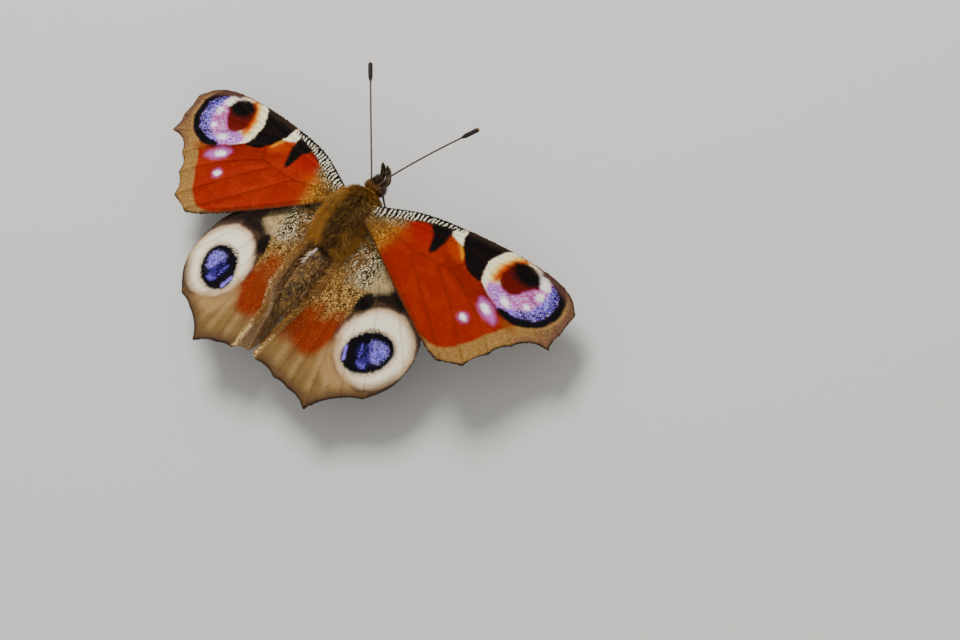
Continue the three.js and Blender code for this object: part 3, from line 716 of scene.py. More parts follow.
# %% Forewing: the red field and the dusted root
def paint_red_field(brush):
    x, y = brush.x, brush.y
    brush.blend((162, 44, 8), 1)
    brush.flecks((184, 66, 12), size=1.1, seed=21, share=0.45, within=0.3)
    brush.sprinkle((204, 92, 30), share=0.05, strength=0.35)
    brush.marked((134, 26, 6), [
        (9.6, 4.4), (13, 4.7), (18, 5), (20, 4.8), (19, 3.2), (16, 2.6), (12, 3),
    ], softness=1.4, share=0.6)
    brush.dotted((170, 28, 6), 6.5, 3, wide=2.2, high=1.2, softness=1.2, share=0.8)
    brush.scatter((170, 84, 12), soft_step((7.4 - x) / 4) * soft_step((2.6 - y) / 1.8))
    base = soft_step((6 - x - 0.3 * y) / 3)
    brush.blend((168, 104, 22), 0.8 * base)
    brush.flecks((226, 180, 84), seed=31, share=0.42, within=0.9 * base)
    brush.flecks((46, 28, 10), seed=33, share=0.38, within=0.9 * base)
    root = soft_step((2.8 - x) / 1.6)
    brush.blend((126, 98, 58), 0.6 * root)
    brush.flecks((60, 44, 26), size=0.22, seed=35, share=0.42, within=0.7 * root)


print("red field:", look_at(paint_red_field, 15.0, 2.0))


# %% Forewing: black and cream patches at the front
def paint_front_patches(brush):
    brush.marked((62, 50, 28), [
        (0.8, 0.6), (3.2, 3.2), (5, 4.8), (8.6, 7.1), (9, 6), (7.2, 4.7), (5.8, 4), (4.6, 3), (2.2, 0.9),
    ], softness=0.6, share=0.8)
    brush.marked((16, 12, 10), [
        (6.2, 5), (8.4, 6.4), (9.1, 5.9), (9.5, 4.8), (9.8, 3.4), (9.8, 2.5), (9.3, 2.3), (8.6, 3),
        (8, 3.6), (7.4, 4.1), (6.6, 4.5),
    ], softness=0.5)
    brush.marked((186, 72, 2), [
        (9.2, 6), (9.6, 5), (10.4, 4.3), (11.6, 4.2), (13, 4.5), (12.6, 5.4), (11.6, 6), (10.4, 6.7),
    ], softness=1.2, share=0.8)
    brush.marked((218, 148, 10), [
        (9.2, 6.2), (9.9, 5.9), (11.2, 5.55), (13, 4.8), (11.9, 5.9), (10.4, 6.8),
    ], softness=0.45)
    brush.marked((255, 250, 216), [
        (8.75, 6.4), (9, 5.95), (9.6, 5.8), (10.5, 5.95), (11.3, 6.1), (10.5, 6.8), (10.1, 7.5),
        (9.2, 7.6),
    ], softness=0.35)
    brush.marked((14, 10, 9), [
        (9.7, 8.2), (10.05, 7.3), (10.5, 6.6), (11.2, 6.1), (12.2, 5.6), (13, 5.1), (14, 4.8), (15.6, 4.8),
        (16.6, 5.1), (15.9, 6), (15.3, 7), (15.1, 8.5), (15.3, 9.8), (15.8, 11), (12.5, 9.7),
    ], softness=0.3)
    brush.drawn((66, 52, 40), [
        (10.4, 8), (12.6, 9.1), (15.2, 10.4),
    ], half_width=0.4, softness=0.5, share=0.7)


print("cream patch:", look_at(paint_front_patches, 9.8, 6.6))

# %% Forewing: the eye-spot, a cream crescent round maroon, pink and blue
white_dots = ((22.55, 9.9, 0.55, 0.45), (22.7, 7.8, 0.48, 0.34), (20.7, 6.05, 0.85, 0.42))


def paint_crescent_spot(brush):
    x = brush.x
    brush.marked((255, 248, 210), [
        (15.6, 11.2), (15, 10), (14.8, 8.8), (14.9, 7.6), (15.4, 6.6), (16.2, 5.7), (17.2, 5.15), (19, 5),
        (21, 5.1), (22.6, 5.5), (24.2, 6.6), (25.1, 8), (25.2, 9.5), (24.6, 11), (23.2, 12), (21.5, 12.3),
        (19.6, 12.1), (17.5, 11.5),
    ], softness=0.3)
    maroon_rim = [
        (17.5, 10.8), (17.1, 9.6), (17, 8.4), (17.5, 7.3), (18.4, 6.8), (19.6, 6.8), (20.5, 7.4),
        (20.9, 8.6), (21.2, 9.8), (21.6, 10.6), (19.5, 11.4),
    ]
    maroon = brush.distance(maroon_rim)
    left_of_maroon = soft_step((18.3 - x) / 1.0)
    brush.blend((250, 200, 52), 0.9 * left_of_maroon * brush.inside(maroon - 1.1, 0.9))
    brush.blend((204, 84, 0), left_of_maroon * brush.inside(maroon - 0.6, 0.8))
    brush.marked((224, 128, 208), [
        (17.3, 6), (17.9, 5.2), (20, 4.9), (22.5, 5.2), (24.4, 6.4), (25.4, 8.2), (25.1, 9.9),
        (24.4, 11.2), (23, 12.1), (22, 12.2), (21.2, 11.6), (20.9, 10.6), (20.6, 9.4), (20.4, 8.2),
        (19.5, 7.2), (18.3, 6.8),
    ], softness=0.5)
    brush.dotted((204, 104, 176), 21.8, 8.9, wide=1.2, high=1.5, softness=0.9, share=0.8)
    brush.dotted((178, 112, 228), 19.9, 5.9, wide=2.4, high=0.8, softness=0.7, share=0.7)
    bluish = brush.patch([
        (20.8, 4.8), (22.6, 5.3), (24.3, 6.5), (25.2, 8), (25.3, 9.6), (24.5, 11.3), (23, 12.2),
        (22, 12.2), (22.6, 10.8), (23.4, 9.4), (23.2, 7.6), (22.4, 6.4),
    ], softness=0.9)
    brush.blend((126, 114, 246), 0.95 * bluish)
    violet = brush.patch([
        (17.6, 6.2), (18.1, 5.3), (20, 5), (22.5, 5.3), (24.6, 6.6), (25.5, 9), (24.4, 11.4), (22.8, 12),
        (21.6, 10.8), (21.1, 9), (20.5, 7.4),
    ], softness=0.5)
    brush.flecks((36, 18, 66), seed=41, share=0.3, within=0.75 * violet)
    brush.flecks((250, 226, 250), size=0.2, seed=43, share=0.3, within=0.6 * violet)
    brush.blend((124, 24, 4), brush.inside(maroon, 0.6))
    brush.flecks((70, 8, 4), size=0.24, seed=45, share=0.42, within=0.6 * brush.inside(maroon + 0.3, 0.6))
    brush.marked((255, 250, 240), [
        (19.4, 11.5), (20, 12), (21.1, 12), (22.1, 11.7), (22.5, 11.2), (22, 10.9), (21.4, 10.6),
        (20.7, 10.9),
    ], softness=0.4, share=0.95)
    brush.dotted((60, 10, 4), 18.9, 10.05, wide=2.2, high=1.4, turn=12, softness=0.8, share=0.8)
    brush.dotted((10, 6, 5), 19.05, 10.35, wide=1.95, high=1.1, turn=8, softness=0.5)
    for dot_x, dot_y, wide, high in white_dots:
        brush.dotted((255, 252, 250), dot_x, dot_y, wide, high, softness=0.35)
    brush.drawn((80, 34, 74), [(20.8, 8.75), (23, 8.9), (25, 9)], half_width=0.05, softness=0.2, share=0.6)
    brush.drawn((80, 34, 74), [
        (20.2, 7), (22, 6.95), (24.5, 6.95),
    ], half_width=0.05, softness=0.2, share=0.6)


print("maroon:", look_at(paint_crescent_spot, 18.5, 8.0))

# %% Forewing: the brown margin, and two white dots with pink halos
halo_dots = (
    ([(18.5, 4), (19.6, 4.45), (21.2, 4.2), (22.5, 3.5), (21.5, 3), (20.2, 2.95), (19.2, 3.2)],
     (20, 3.7, 0.78, 0.42)),
    ([(18.9, 0.9), (19.4, 1.4), (20.1, 1.25), (20.3, 0.8), (19.8, 0.35), (19.1, 0.45)],
     (19.6, 0.87, 0.55, 0.36)),
)


def paint_brown_margin(brush):
    x, y = brush.x, brush.y
    band = brush.patch([
        (21, 13.2), (23.4, 12.5), (25, 11.6), (25.6, 10.2), (25.8, 8.8), (25.6, 7.6), (24.9, 6.6),
        (24.2, 5.9), (23.9, 5), (23.7, 4), (23.3, 2.4), (23, 0.5), (22.7, -1), (22.2, -2.4), (21.4, -3.5),
        (20.2, -4.3), (18.2, -4.9), (22, -7), (31, -3), (32, 9), (28, 15),
    ], softness=0.4)
    brush.blend((170, 130, 72), band)
    brush.blend((116, 84, 62), band * soft_step((y - 6.2) / 1.6) * 0.85)
    brush.flecks((206, 172, 112), size=0.25, seed=51, share=0.4, within=0.4 * band)
    brush.flecks((92, 66, 38), size=0.22, seed=53, share=0.34, within=0.36 * band)
    brush.drawn((186, 146, 92), [
        (23.6, 12.7), (25.3, 11.9), (26.3, 10.2), (26.4, 8.6), (26, 7.4), (25.2, 6.4),
    ], half_width=0.22, softness=0.5, share=0.75)
    brush.dotted((150, 90, 30), 23.6, 4.7, wide=1.4, high=0.6, softness=0.7, share=0.7)
    brush.drawn((14, 10, 20), [
        (20.2, 12.35), (22, 12.6), (23.8, 12.2), (25, 11.2), (25.6, 10), (25.75, 8.7), (25.4, 7.4),
        (24.6, 6.5), (23.7, 5.8), (22.8, 5.3), (21.5, 4.95),
    ], half_width=0.52, softness=0.4)
    into_blue = brush.stroke([
        (22.6, 12), (23.9, 11.4), (24.7, 10.4), (24.9, 9), (24.5, 7.6), (23.4, 6.5),
    ], half_width=0.75, softness=0.9)
    brush.flecks((14, 9, 32), seed=55, share=0.5, within=into_blue)
    brush.drawn((44, 30, 22), [
        (16.2, 11.3), (18.2, 12.1), (20, 12.7), (21.6, 12.9),
    ], half_width=0.3, softness=0.4, share=0.9)
    margin = look_up(forewing["edge_distance"], x, y)
    outer_margin = soft_step((x - 18) / 2)
    greyed = outer_margin * soft_step((y - 3) / 2)
    brush.blend((124, 88, 76), 0.6 * greyed * brush.inside(-0.9 - margin, 0.8))
    brush.blend((66, 46, 34), outer_margin * brush.inside(-0.22 - margin, 0.3))
    brush.drawn((116, 26, 8), [
        (17.2, 5), (18.6, 4.72), (20.4, 4.62), (22.4, 4.7),
    ], half_width=0.1, softness=0.25, share=0.8)
    for halo, core in halo_dots:
        brush.marked((204, 128, 204), halo, softness=1.0, share=0.85)
        brush.dotted((255, 252, 250), *core, softness=0.35)


print("brown margin:", look_at(paint_brown_margin, 24.8, 1.0))

# %% Forewing: dark bars on a pale front edge, and darker veins
bar_spacing = 0.54
bars_end = 12.6
vein_line_width = 0.12


def paint_barred_edge(brush):
    x, y = brush.x, brush.y
    to_back = from_line(x, y, forewing["back_line"])[0]
    brush.blend((96, 60, 34), brush.inside(to_back - 0.35, 0.4) * soft_step((21 - x) / 2) * 0.85)
    to_front, along_front = from_line(x, y, forewing["front_line"])
    past_root = along_front - 1.6
    bar_width = 1.45 - 0.65 * soft_step((past_root - 4) / 7)
    barred = brush.inside(to_front - bar_width, 0.3) * soft_step(past_root / 0.8)
    barred *= soft_step((bars_end - past_root) / 0.8)
    wander = 0.3 * to_front + 0.5 * (cloud(x, y, 0.9, 61) - 0.5) + 0.2 * (cloud(x, y, 0.4, 62) - 0.5)
    bars = np.sin(2 * np.pi * (past_root + wander) / bar_spacing)
    dusted = brush.inside(to_front - bar_width - 0.9, 1.2) * soft_step((6 - past_root) / 2.5)
    brush.blend((104, 80, 50), 0.7 * dusted)
    brush.flecks((226, 206, 160), seed=63, share=0.36, within=0.9 * dusted)
    brush.flecks((34, 24, 12), seed=65, share=0.36, within=0.9 * dusted)
    brush.blend((18, 13, 9), barred)
    off_the_rim = 1 - brush.inside(to_front - 0.3, 0.25)
    brush.blend((255, 246, 220), barred * soft_step(bars * 2.4 - 0.55) * off_the_rim)
    brush.blend((96, 66, 42), brush.inside(to_front - 0.2, 0.3) * soft_step((past_root - 12) / 3) * 0.8)
    vein = look_up(forewing["vein_distance"], x, y)
    brush.blend((70, 26, 12), 0.22 * np.exp(-(vein / vein_line_width) ** 2) * (1 - 0.5 * barred))


def paint_forewing(brush):
    paint_red_field(brush)
    paint_front_patches(brush)
    paint_crescent_spot(brush)
    paint_brown_margin(brush)
    paint_barred_edge(brush)


print("forewing beside a vein:", look_at(paint_forewing, 12.0, 0.0))

# %% [markdown]
# ## The hindwing's markings
#
# The hindwing is built up in the same way: a brown ground with rust and golden dusting, then the blue
# eye-spot on its pale disc, then the margin. The dark and the pale flecks of the root are laid over a soft
# cloud, so that the dusting thins out unevenly instead of ending at a line.

# %% An oval as a rim of points, for a patch that needs its distance
def turned_oval(x, y, wide, high, turn):
    angle = np.linspace(0, 2 * np.pi, 41)[:-1]
    c, s = math.cos(math.radians(turn)), math.sin(math.radians(turn))
    u, v = wide * np.cos(angle), high * np.sin(angle)
    return np.stack([x + u * c - v * s, y + u * s + v * c], 1)


print("points round an oval:", len(turned_oval(0, 0, 2, 1, 30)))

# %% Hindwing: brown ground, rust field and dusted root
def paint_dusted_root(brush):
    x, y = brush.x, brush.y
    brush.blend((148, 114, 66), 1)
    brush.flecks((176, 144, 96), size=1.2, seed=121, share=0.45, within=0.35)
    rust_rim = [
        (-2, -8), (3, -7), (5.6, -6.4), (8, -6.9), (9.2, -8.2), (9.8, -9.8), (9.3, -11.4), (8.9, -13),
        (8, -14.3), (6.3, -15), (4, -15.4), (0, -15.8), (-2, -15.8),
    ]
    rust = brush.patch(rust_rim, softness=1.4)
    brush.blend((148, 56, 8), rust)
    brush.blend((130, 68, 14), 0.65 * rust * soft_step((6 - x) / 3.5))
    brush.blend((112, 36, 4), 0.55 * brush.oval(3.5, -12.8, wide=2.2, high=2, softness=1.6))
    brush.sprinkle((196, 130, 60), share=0.08 * rust, strength=0.4)
    from_gold = np.hypot((x - 4) / 4.6, (y + 4.6) / 4.2)
    golden = soft_step(1.55 - 1.1 * from_gold + 0.5 * (cloud(x, y, 0.8, 130) - 0.5))
    brush.blend((122, 84, 32), golden)
    brush.flecks((34, 21, 7), seed=131, share=0.4, within=0.95 * golden)
    brush.flecks((232, 192, 118), seed=133, share=0.34, within=0.9 * golden)
    from_salt = np.hypot((x - 4.4) / 4.6, (y + 0.9) / 3.1)
    salted = soft_step(1.6 - 1.2 * from_salt + 0.5 * (cloud(x, y, 0.8, 134) - 0.5))
    brush.blend((106, 84, 50), salted)
    brush.flecks((255, 240, 198), seed=135, share=0.48, within=salted)
    brush.flecks((22, 15, 7), seed=137, share=0.4, within=salted)
    brush.marked((92, 74, 66), [
        (4, 3.2), (10, 2.8), (14.6, 0.8), (17.4, -1.8), (18.9, -4.4), (19.4, -7), (18.6, -8), (16.5, -3.2),
        (13.5, -1.4), (10.5, -1.8), (8.6, -2.6), (8, -0.4), (6, 0.8),
    ], softness=0.9)
    brush.marked((48, 36, 30), [
        (8.8, -0.3), (11.5, -0.8), (12.6, -1.4), (10.5, -2.2), (8.8, -3), (8.4, -1.5),
    ], softness=1.0)
    brush.marked((212, 186, 138), [
        (6, 0.6), (8.6, 0.2), (9.1, -0.8), (8.3, -2), (7.4, -2.8), (6.8, -2.8), (6.2, -1.3),
    ], softness=1.4, share=0.85)
    behind_cream = brush.oval(6.6, -1.6, wide=1.9, high=2.2, softness=1.6)
    brush.flecks((70, 52, 30), size=0.2, seed=139, share=0.4, within=0.6 * behind_cream)


print("rust field:", look_at(paint_dusted_root, 7.0, -10.0))

# %% Hindwing: the blue eye-spot on its pale disc
spot_centre = (13.65, -6.65)
blue_patches = (
    [(12.7, -6.4), (13.5, -5.6), (14.5, -5.3), (15.4, -5.7), (15.5, -6.9), (15, -7.8), (14.4, -8),
     (13.6, -7.3), (12.9, -7.1)],
    [(13.3, -9.2), (13.9, -8.8), (14.7, -8.6), (14.8, -9.1), (14.1, -9.6)],
)


def paint_blue_spot(brush):
    x, y = brush.x, brush.y
    from_centre = np.hypot(x - spot_centre[0], y - spot_centre[1]) + 0.1 * (cloud(x, y, 0.8, 151) - 0.5)
    brush.blend((104, 80, 70), 0.85 * brush.inside(from_centre - 5.6, 0.5))
    brush.blend((204, 174, 142), brush.inside(from_centre - 5.25, 0.5))
    brush.blend((255, 246, 222), brush.inside(from_centre - 4.75, 1.0))
    buff_ring = soft_step((from_centre - 3.7) / 1.2) * brush.inside(from_centre - 5, 0.6)
    brush.blend((222, 192, 148), 0.5 * buff_ring)
    brush.marked((186, 152, 104), [
        (9.3, -9.4), (10, -9.2), (10.6, -10.8), (12.6, -11.8), (15.4, -11.3), (16.4, -12.6), (12, -14),
        (9.6, -12.4),
    ], softness=1.6, share=0.8)
    to_black = brush.distance(turned_oval(13.55, -7.65, 3.5, 2.6, 57))
    brush.blend((198, 160, 116), 0.75 * brush.inside(np.abs(to_black - 0.2) - 0.15, 0.9))
    brush.blend((10, 8, 14), brush.inside(to_black, 0.45))
    for patch in blue_patches:
        brush.blend((136, 116, 240), 0.95 * brush.patch(patch, softness=0.5))
    brush.blend((112, 90, 230), 0.35 * brush.oval(13.6, -8, wide=1.3, high=0.9, softness=0.9))
    brush.drawn((130, 108, 240), [
        (12.3, -7.5), (12.8, -8.1), (13.2, -8.7),
    ], half_width=0.2, softness=0.3, share=0.8)
    brush.drawn((158, 138, 244), [
        (11.1, -9.2), (11.6, -9.8), (12.1, -10.3),
    ], half_width=0.24, softness=0.3, share=0.9)
    lit = brush.oval(13.6, -7.4, wide=2.9, high=2.9, softness=0.5)
    brush.flecks((14, 8, 34), seed=161, share=0.42, within=0.95 * lit)
    brush.flecks((12, 8, 26), seed=165, share=0.4, within=lit * soft_step((14.6 - x) / 1.6))
    sheen = brush.patch([(12.6, -6.3), (14.2, -5.1), (15.8, -5.8), (15.4, -7.9), (13.7, -7.3)], softness=0.5)
    brush.flecks((196, 184, 252), size=0.2, seed=163, share=0.34, within=0.6 * lit * sheen)
    brush.drawn((78, 58, 44), [
        (8.7, -5.6), (9, -4), (10.2, -2.4), (12, -1.4),
    ], half_width=0.35, softness=0.7, share=0.8)
    brush.marked((16, 11, 8), [
        (7.1, -3.3), (7.9, -2.8), (8.8, -3.2), (8.95, -4.4), (8.4, -5.5), (7.6, -5.8), (7.1, -4.7),
    ], softness=0.6)
    brush.drawn((44, 33, 25), [
        (8.1, -3.4), (9.5, -2), (11.5, -1.1),
    ], half_width=0.6, softness=1.0, share=0.8)
    brush.drawn((48, 36, 26), [(7.9, -5.5), (8.3, -6.8)], half_width=0.4, softness=0.9, share=0.7)


print("pale disc:", look_at(paint_blue_spot, 13.6, -3.0))

# %% Hindwing: the margin with its streaks, and darker veins
margin_streaks = (
    [(10.2, -12.8), (11.9, -16)],
    [(8.2, -14.6), (9.2, -17)],
    [(5.6, -15), (6.4, -17.5)],
    [(12.4, -13.2), (14, -15.2)],
)


def paint_hind_margin(brush):
    x, y = brush.x, brush.y
    outer = soft_step((-y - 13.2) / 2) * soft_step((x - 2) / 3)
    brush.blend((144, 114, 70), outer * 0.7)
    for streak in margin_streaks:
        brush.drawn((186, 158, 112), streak, half_width=0.3, softness=1.2, share=0.6)
    margin = look_up(hindwing["edge_distance"], x, y)
    rear = soft_step((-y - 5) / 3) * soft_step((x - 3.4) / 1.5)
    brush.blend((94, 72, 54), rear * brush.inside(-1.1 - margin, 2.0) * 0.8)
    brush.blend((56, 40, 30), rear * brush.inside(-0.28 - margin, 0.35))
    vein = look_up(hindwing["vein_distance"], x, y)
    brush.blend((70, 50, 36), 0.22 * np.exp(-(vein / vein_line_width) ** 2))


def paint_hindwing(brush):
    paint_dusted_root(brush)
    paint_blue_spot(brush)
    paint_hind_margin(brush)


print("hindwing near its margin:", look_at(paint_hindwing, 10.0, -17.0))

# %% [markdown]
# ## Folds and lower faces
#
# Two more paintings follow. The fold's is laid over the finished upper face, measured from the bend of each
# wing instead of from the drawing, because the two wings are folded in different places. The lower faces of
# all four wings share one plain painting: a dead leaf, almost black near the body, with fine lines across.

# %% The folds: grey-brown inside, with golden scales along the bend; the left lining is painted lighter against its shade
def paint_fold(brush, inside, behind, side):
    if side < 0:
        beside = soft_step((inside + 3.4) / 1.2) * soft_step((behind - 6) / 1.6)
        beside *= soft_step((13.6 - behind) / 1.2)
        brush.scatter((144, 62, 10), 0.8 * beside)
    lining = soft_step((inside + 0.1) / 0.5) * soft_step((behind - 1) / 2)
    # The left fold's lining is painted lighter than the right one's: painted light that makes up for the
    # shade it lies in.
    brush.blend((178, 144, 110) if side > 0 else (240, 208, 166), lining)
    brush.blend((170, 136, 100), 0.7 * lining * soft_step((behind - 12) / 2.5))
    brush.flecks((100, 78, 56), size=0.3, seed=141, share=0.45, within=0.5 * lining)
    edge = np.exp(-((inside + 0.05) / 0.26) ** 2) * soft_step((behind - 2) / 2)
    brush.blend((60, 40, 22), 0.6 * edge)
    brush.flecks((250, 216, 152), seed=143, share=0.48, within=edge)


# %% The lower faces
def paint_underside(brush):
    x, y = brush.x, brush.y
    brush.blend((44, 35, 30), 1)
    across = np.sin(2 * np.pi * (x * 0.9 + y * 0.35 + 1.2 * cloud(x, y, 2.2, 201)) / 0.7)
    brush.scatter((26, 20, 17), 0.7 * soft_step(across * 1.5))
    outer = soft_step((np.hypot(x, y) - 15) / 2.5 + 0.6 * (cloud(x, y, 2, 203) - 0.5))
    brush.scatter((80, 66, 54), 0.7 * outer)
    brush.scatter((104, 88, 72), 0.25 * outer * brush.clumps(size=0.4, seed=205, share=0.4))


print("lower face near its middle:", look_at(paint_underside, 10.0, 2.0))

# %% [markdown]
# ## Wing membranes
#
# The membrane is a closed, very thin solid: the same net of triangles above and below, joined round the rim.
# The net is found by a Delaunay triangulation of the outline and a fine grid inside it, which copes with the
# teeth without any thought. It is drawn in a little from the outline, so that the scales make the edge.

# %% The flat net of a membrane
net_step = 0.2
row_step = 0.866 * net_step
half_thickness = 0.05
drawn_in = 0.1


def membrane_net(drawing):
    outline = drawing["outline"]
    ahead = np.roll(outline, -1, 0) - np.roll(outline, 1, 0)
    inwards = unit(np.stack([ahead[:, 1], -ahead[:, 0]], 1))
    rim = outline + drawn_in * inwards
    low, high = outline.min(0), outline.max(0)
    x, y = np.meshgrid(np.arange(low[0], high[0], net_step), np.arange(low[1], high[1], row_step))
    x[1::2] += net_step / 2
    grid = np.stack([x.ravel(), y.ravel()], 1)
    inside = look_up(drawing["edge_distance"], *grid.T) < -drawn_in - 0.6 * net_step
    corners = [Vector(point) for point in np.vstack([rim, grid[inside]])]
    only_inside, smallest_gap = 1, 1e-5
    result = delaunay_2d_cdt(corners, [], [list(range(len(rim)))], only_inside, smallest_gap)
    net = np.array([tuple(point) for point in result[0]])
    triangles = np.array([tuple(face) for face in result[2]])
    # A side that belongs to one triangle only is part of the rim.
    sides = np.vstack([triangles[:, [0, 1]], triangles[:, [1, 2]], triangles[:, [2, 0]]])
    first, count = np.unique(np.sort(sides, 1), axis=0, return_index=True, return_counts=True)[1:]
    return net, triangles, sides[first[count == 1]]


def folded_colours(pose, x, y, colours, by_scale):
    """The colours of the upper face, with those of the fold over them where the wing has one."""
    if "fold" not in pose:
        return colours
    brush = Brush(x, y, by_scale, 5)
    brush.colours = colours.copy()
    behind = -before_fold(pose, x, y)[:, 1]
    paint_fold(brush, inside_fold(pose, x, y), behind, pose["side"])
    return brush.colours


forewing["paint"], hindwing["paint"] = paint_forewing, paint_hindwing
for drawing in (forewing, hindwing):
    drawing["net"], drawing["triangles"], drawing["rim"] = membrane_net(drawing)
    upper, lower = (Brush(*drawing["net"].T, by_scale=False, seed=seed) for seed in (1, 2))
    drawing["paint"](upper)
    paint_underside(lower)
    drawing["net_colours"] = upper.colours, lower.colours
    print("triangles in a flat net:", len(drawing["triangles"]))

# %% Membrane of each wing: two nets and the walls between their rims
for name, pose in poses.items():
    drawing = pose["drawing"]
    net, triangles, rim = drawing["net"], drawing["triangles"], drawing["rim"]
    edge = look_up(drawing["edge_distance"], *net.T)
    thickness = half_thickness * (0.4 + 0.6 * soft_step((-edge - drawn_in) / 0.4))
    points = np.vstack([on_wing(pose, *net.T, thickness, face) for face in (1, -1)])
    count = len(net)
    walls = np.vstack([
        np.stack([rim[:, 1], rim[:, 0], rim[:, 0] + count], 1),
        np.stack([rim[:, 1], rim[:, 0] + count, rim[:, 1] + count], 1),
    ])
    faces = np.vstack([triangles, triangles[:, ::-1] + count, walls])
    if pose["side"] < 0:
        faces = faces[:, ::-1]
    unwrap = np.vstack([on_map(*net.T, face) for face in (1, -1)])
    above, below = drawing["net_colours"]
    colours = np.vstack([folded_colours(pose, *net.T, above, by_scale=False), below])
    pose["slot"] = name.split("_")[0] + "_scales"
    pose["material"] = marked_material(name + "_material", roughness=0.8, shine=0.1, grain_size=0.12)
    piece(name + "_membrane", (points, faces, colours, unwrap), pose["material"], (name,))

# %% [markdown]
# ## Wing scales
#
# A butterfly's wing is covered like a roof, with rows of scales that overlap from the margin to the root.
# Each one here is a flat little roof of four triangles, rooted in the membrane and lifted at its tip. The
# rows are circles about a point behind the wing's root, so that the scales fan out as the veins do. Every
# scale takes one colour from the painting, and is made a little lighter or darker than its neighbours.

# %% Rows of scales
least_radius = 0.3
past_the_ends = 0.05
place_jitter, row_jitter = 0.14, 0.18


def scale_rows(drawing, pitch, seed):
    random = np.random.default_rng(seed)
    pole = np.array(drawing["fans_from"])
    away = drawing["outline"] - pole
    reach = np.hypot(*away.T).max()
    bearing = np.arctan2(away[:, 1], away[:, 0])
    first, last = bearing.min() - past_the_ends, bearing.max() + past_the_ends
    rows = []
    for radius in np.arange(least_radius, reach, pitch):
        count = max(3, int(radius * (last - first) / (pitch * 1.1)))
        place = (np.arange(count) + random.random() + random.normal(0, place_jitter, count)) / count
        angle = first + place * (last - first)
        radii = radius + random.normal(0, row_jitter * pitch, count)
        rows.append(np.stack([pole[0] + radii * np.cos(angle), pole[1] + radii * np.sin(angle), angle], 1))
    x, y, angle = np.vstack(rows).T
    inside = look_up(drawing["edge_distance"], x, y) < -drawn_in
    return x[inside], y[inside], angle[inside]


print("scales in coarse rows on a forewing:", len(scale_rows(forewing, 1.0, 7)[0]))

# %% Scales as little roofs
root_height, shoulder_height, tip_height = 0.02, 0.06, 0.105
shoulder_place = 0.6
least_length = 0.1
size_variety = (0.85, 1.15)
patch_on_map = 0.0015


def scale_solids(pose, rows, length, width, face, colours, seed):
    """Four corners and four triangles a scale: root, left, right and tip."""
    random = np.random.default_rng(seed)
    x, y, angle = rows
    count = len(x)
    angle = angle + random.normal(0, 0.1, count)
    length = length * random.uniform(*size_variety, count)
    width = width * random.uniform(*size_variety, count)
    ahead = headings(angle)
    aside = np.stack([-ahead[:, 1], ahead[:, 0]], 1)
    # A scale that would stand out over the margin is cut back to it.
    edge = look_up(pose["drawing"]["edge_distance"], *(np.stack([x, y]) + ahead.T * length))
    length = np.maximum(length - np.maximum(0, edge), least_length)
    root = np.stack([x, y], 1)
    shoulder = root + ahead * (shoulder_place * length)[:, None]
    corners = [
        (root, root_height),
        (shoulder + aside * width[:, None] / 2, shoulder_height),
        (shoulder - aside * width[:, None] / 2, shoulder_height),
        (root + ahead * length[:, None], tip_height),
    ]
    points = np.stack([on_wing(pose, *place.T, height, face) for place, height in corners], 1).reshape(-1, 3)
    roof = np.array([(0, 3, 1), (0, 2, 3), (0, 1, 2), (1, 3, 2)])
    faces = (4 * np.arange(count)[:, None, None] + roof).reshape(-1, 3)
    if pose["side"] * face < 0:
        faces = faces[:, ::-1]
    brightness = random.normal(1, 0.09, count)[:, None]
    colours = np.repeat(np.clip(colours * brightness, 0, 1), 4, 0)
    diamond = patch_on_map * np.array([(0, -1), (-1, 0), (1, 0), (0, 1)])
    unwrap = np.repeat(on_map(x, y, face), 4, 0) + np.tile(diamond, (count, 1))
    return points, faces, colours, unwrap


print("a scale's tip stands", tip_height, "mm over the middle of the membrane")

# %% Scales of each drawing, painted at the part that the next row leaves uncovered
faces_of_wing = {"upper": (1, 0.107), "lower": (-1, 0.19)}
for drawing in (forewing, hindwing):
    for label, (face, pitch) in faces_of_wing.items():
        rows = scale_rows(drawing, pitch, 7)
        seen = np.stack(rows[:2]) + 0.7 * pitch * headings(rows[2]).T
        brush = Brush(*seen, by_scale=True, seed=17)
        paint = drawing["paint"] if face > 0 else paint_underside
        paint(brush)
        drawing["scales", face] = rows, brush.colours
        print("scales on an", label, "face:", len(rows[0]))

# %% Scales of each wing
for number, (name, pose) in enumerate(poses.items()):
    for label, (face, pitch) in faces_of_wing.items():
        rows, colours = pose["drawing"]["scales", face]
        if face > 0:
            colours = folded_colours(pose, rows[0], rows[1], colours, by_scale=True)
        scales = scale_solids(pose, rows, 2.2 * pitch, 1.3 * pitch, face, colours, 30 + number)
        piece(name + "_scales_" + label, scales, pose["material"], smooth=False)

# %% [markdown]
# ## Blades of hair
#
# Fur could be made with a hair system, but hair curves don't survive as a mesh. Here each tuft is a slim,
# three-sided blade that bends over and ends in a point. Arrays make thousands at once: four steps along each
# blade, its height over the skin rising and then levelling out. The root is painted dark and the tip light:
# painted shade deep in the coat and painted light at its surface, which gives the coat its depth.

# %% Blades from roots, directions and lengths
blade_places = np.array([0.0, 0.35, 0.7, 1.0])
blade_widths = np.array([0.8, 1.0, 0.65])
# Each blade is painted darker at its root and lighter at its tip: painted shade deep in the coat, painted
# light at its surface.
painted_shade_and_light_along_blade = np.array([0.45, 0.8, 1.05, 1.3])
root_depth = 0.06
patch_of_blade = 0.0014


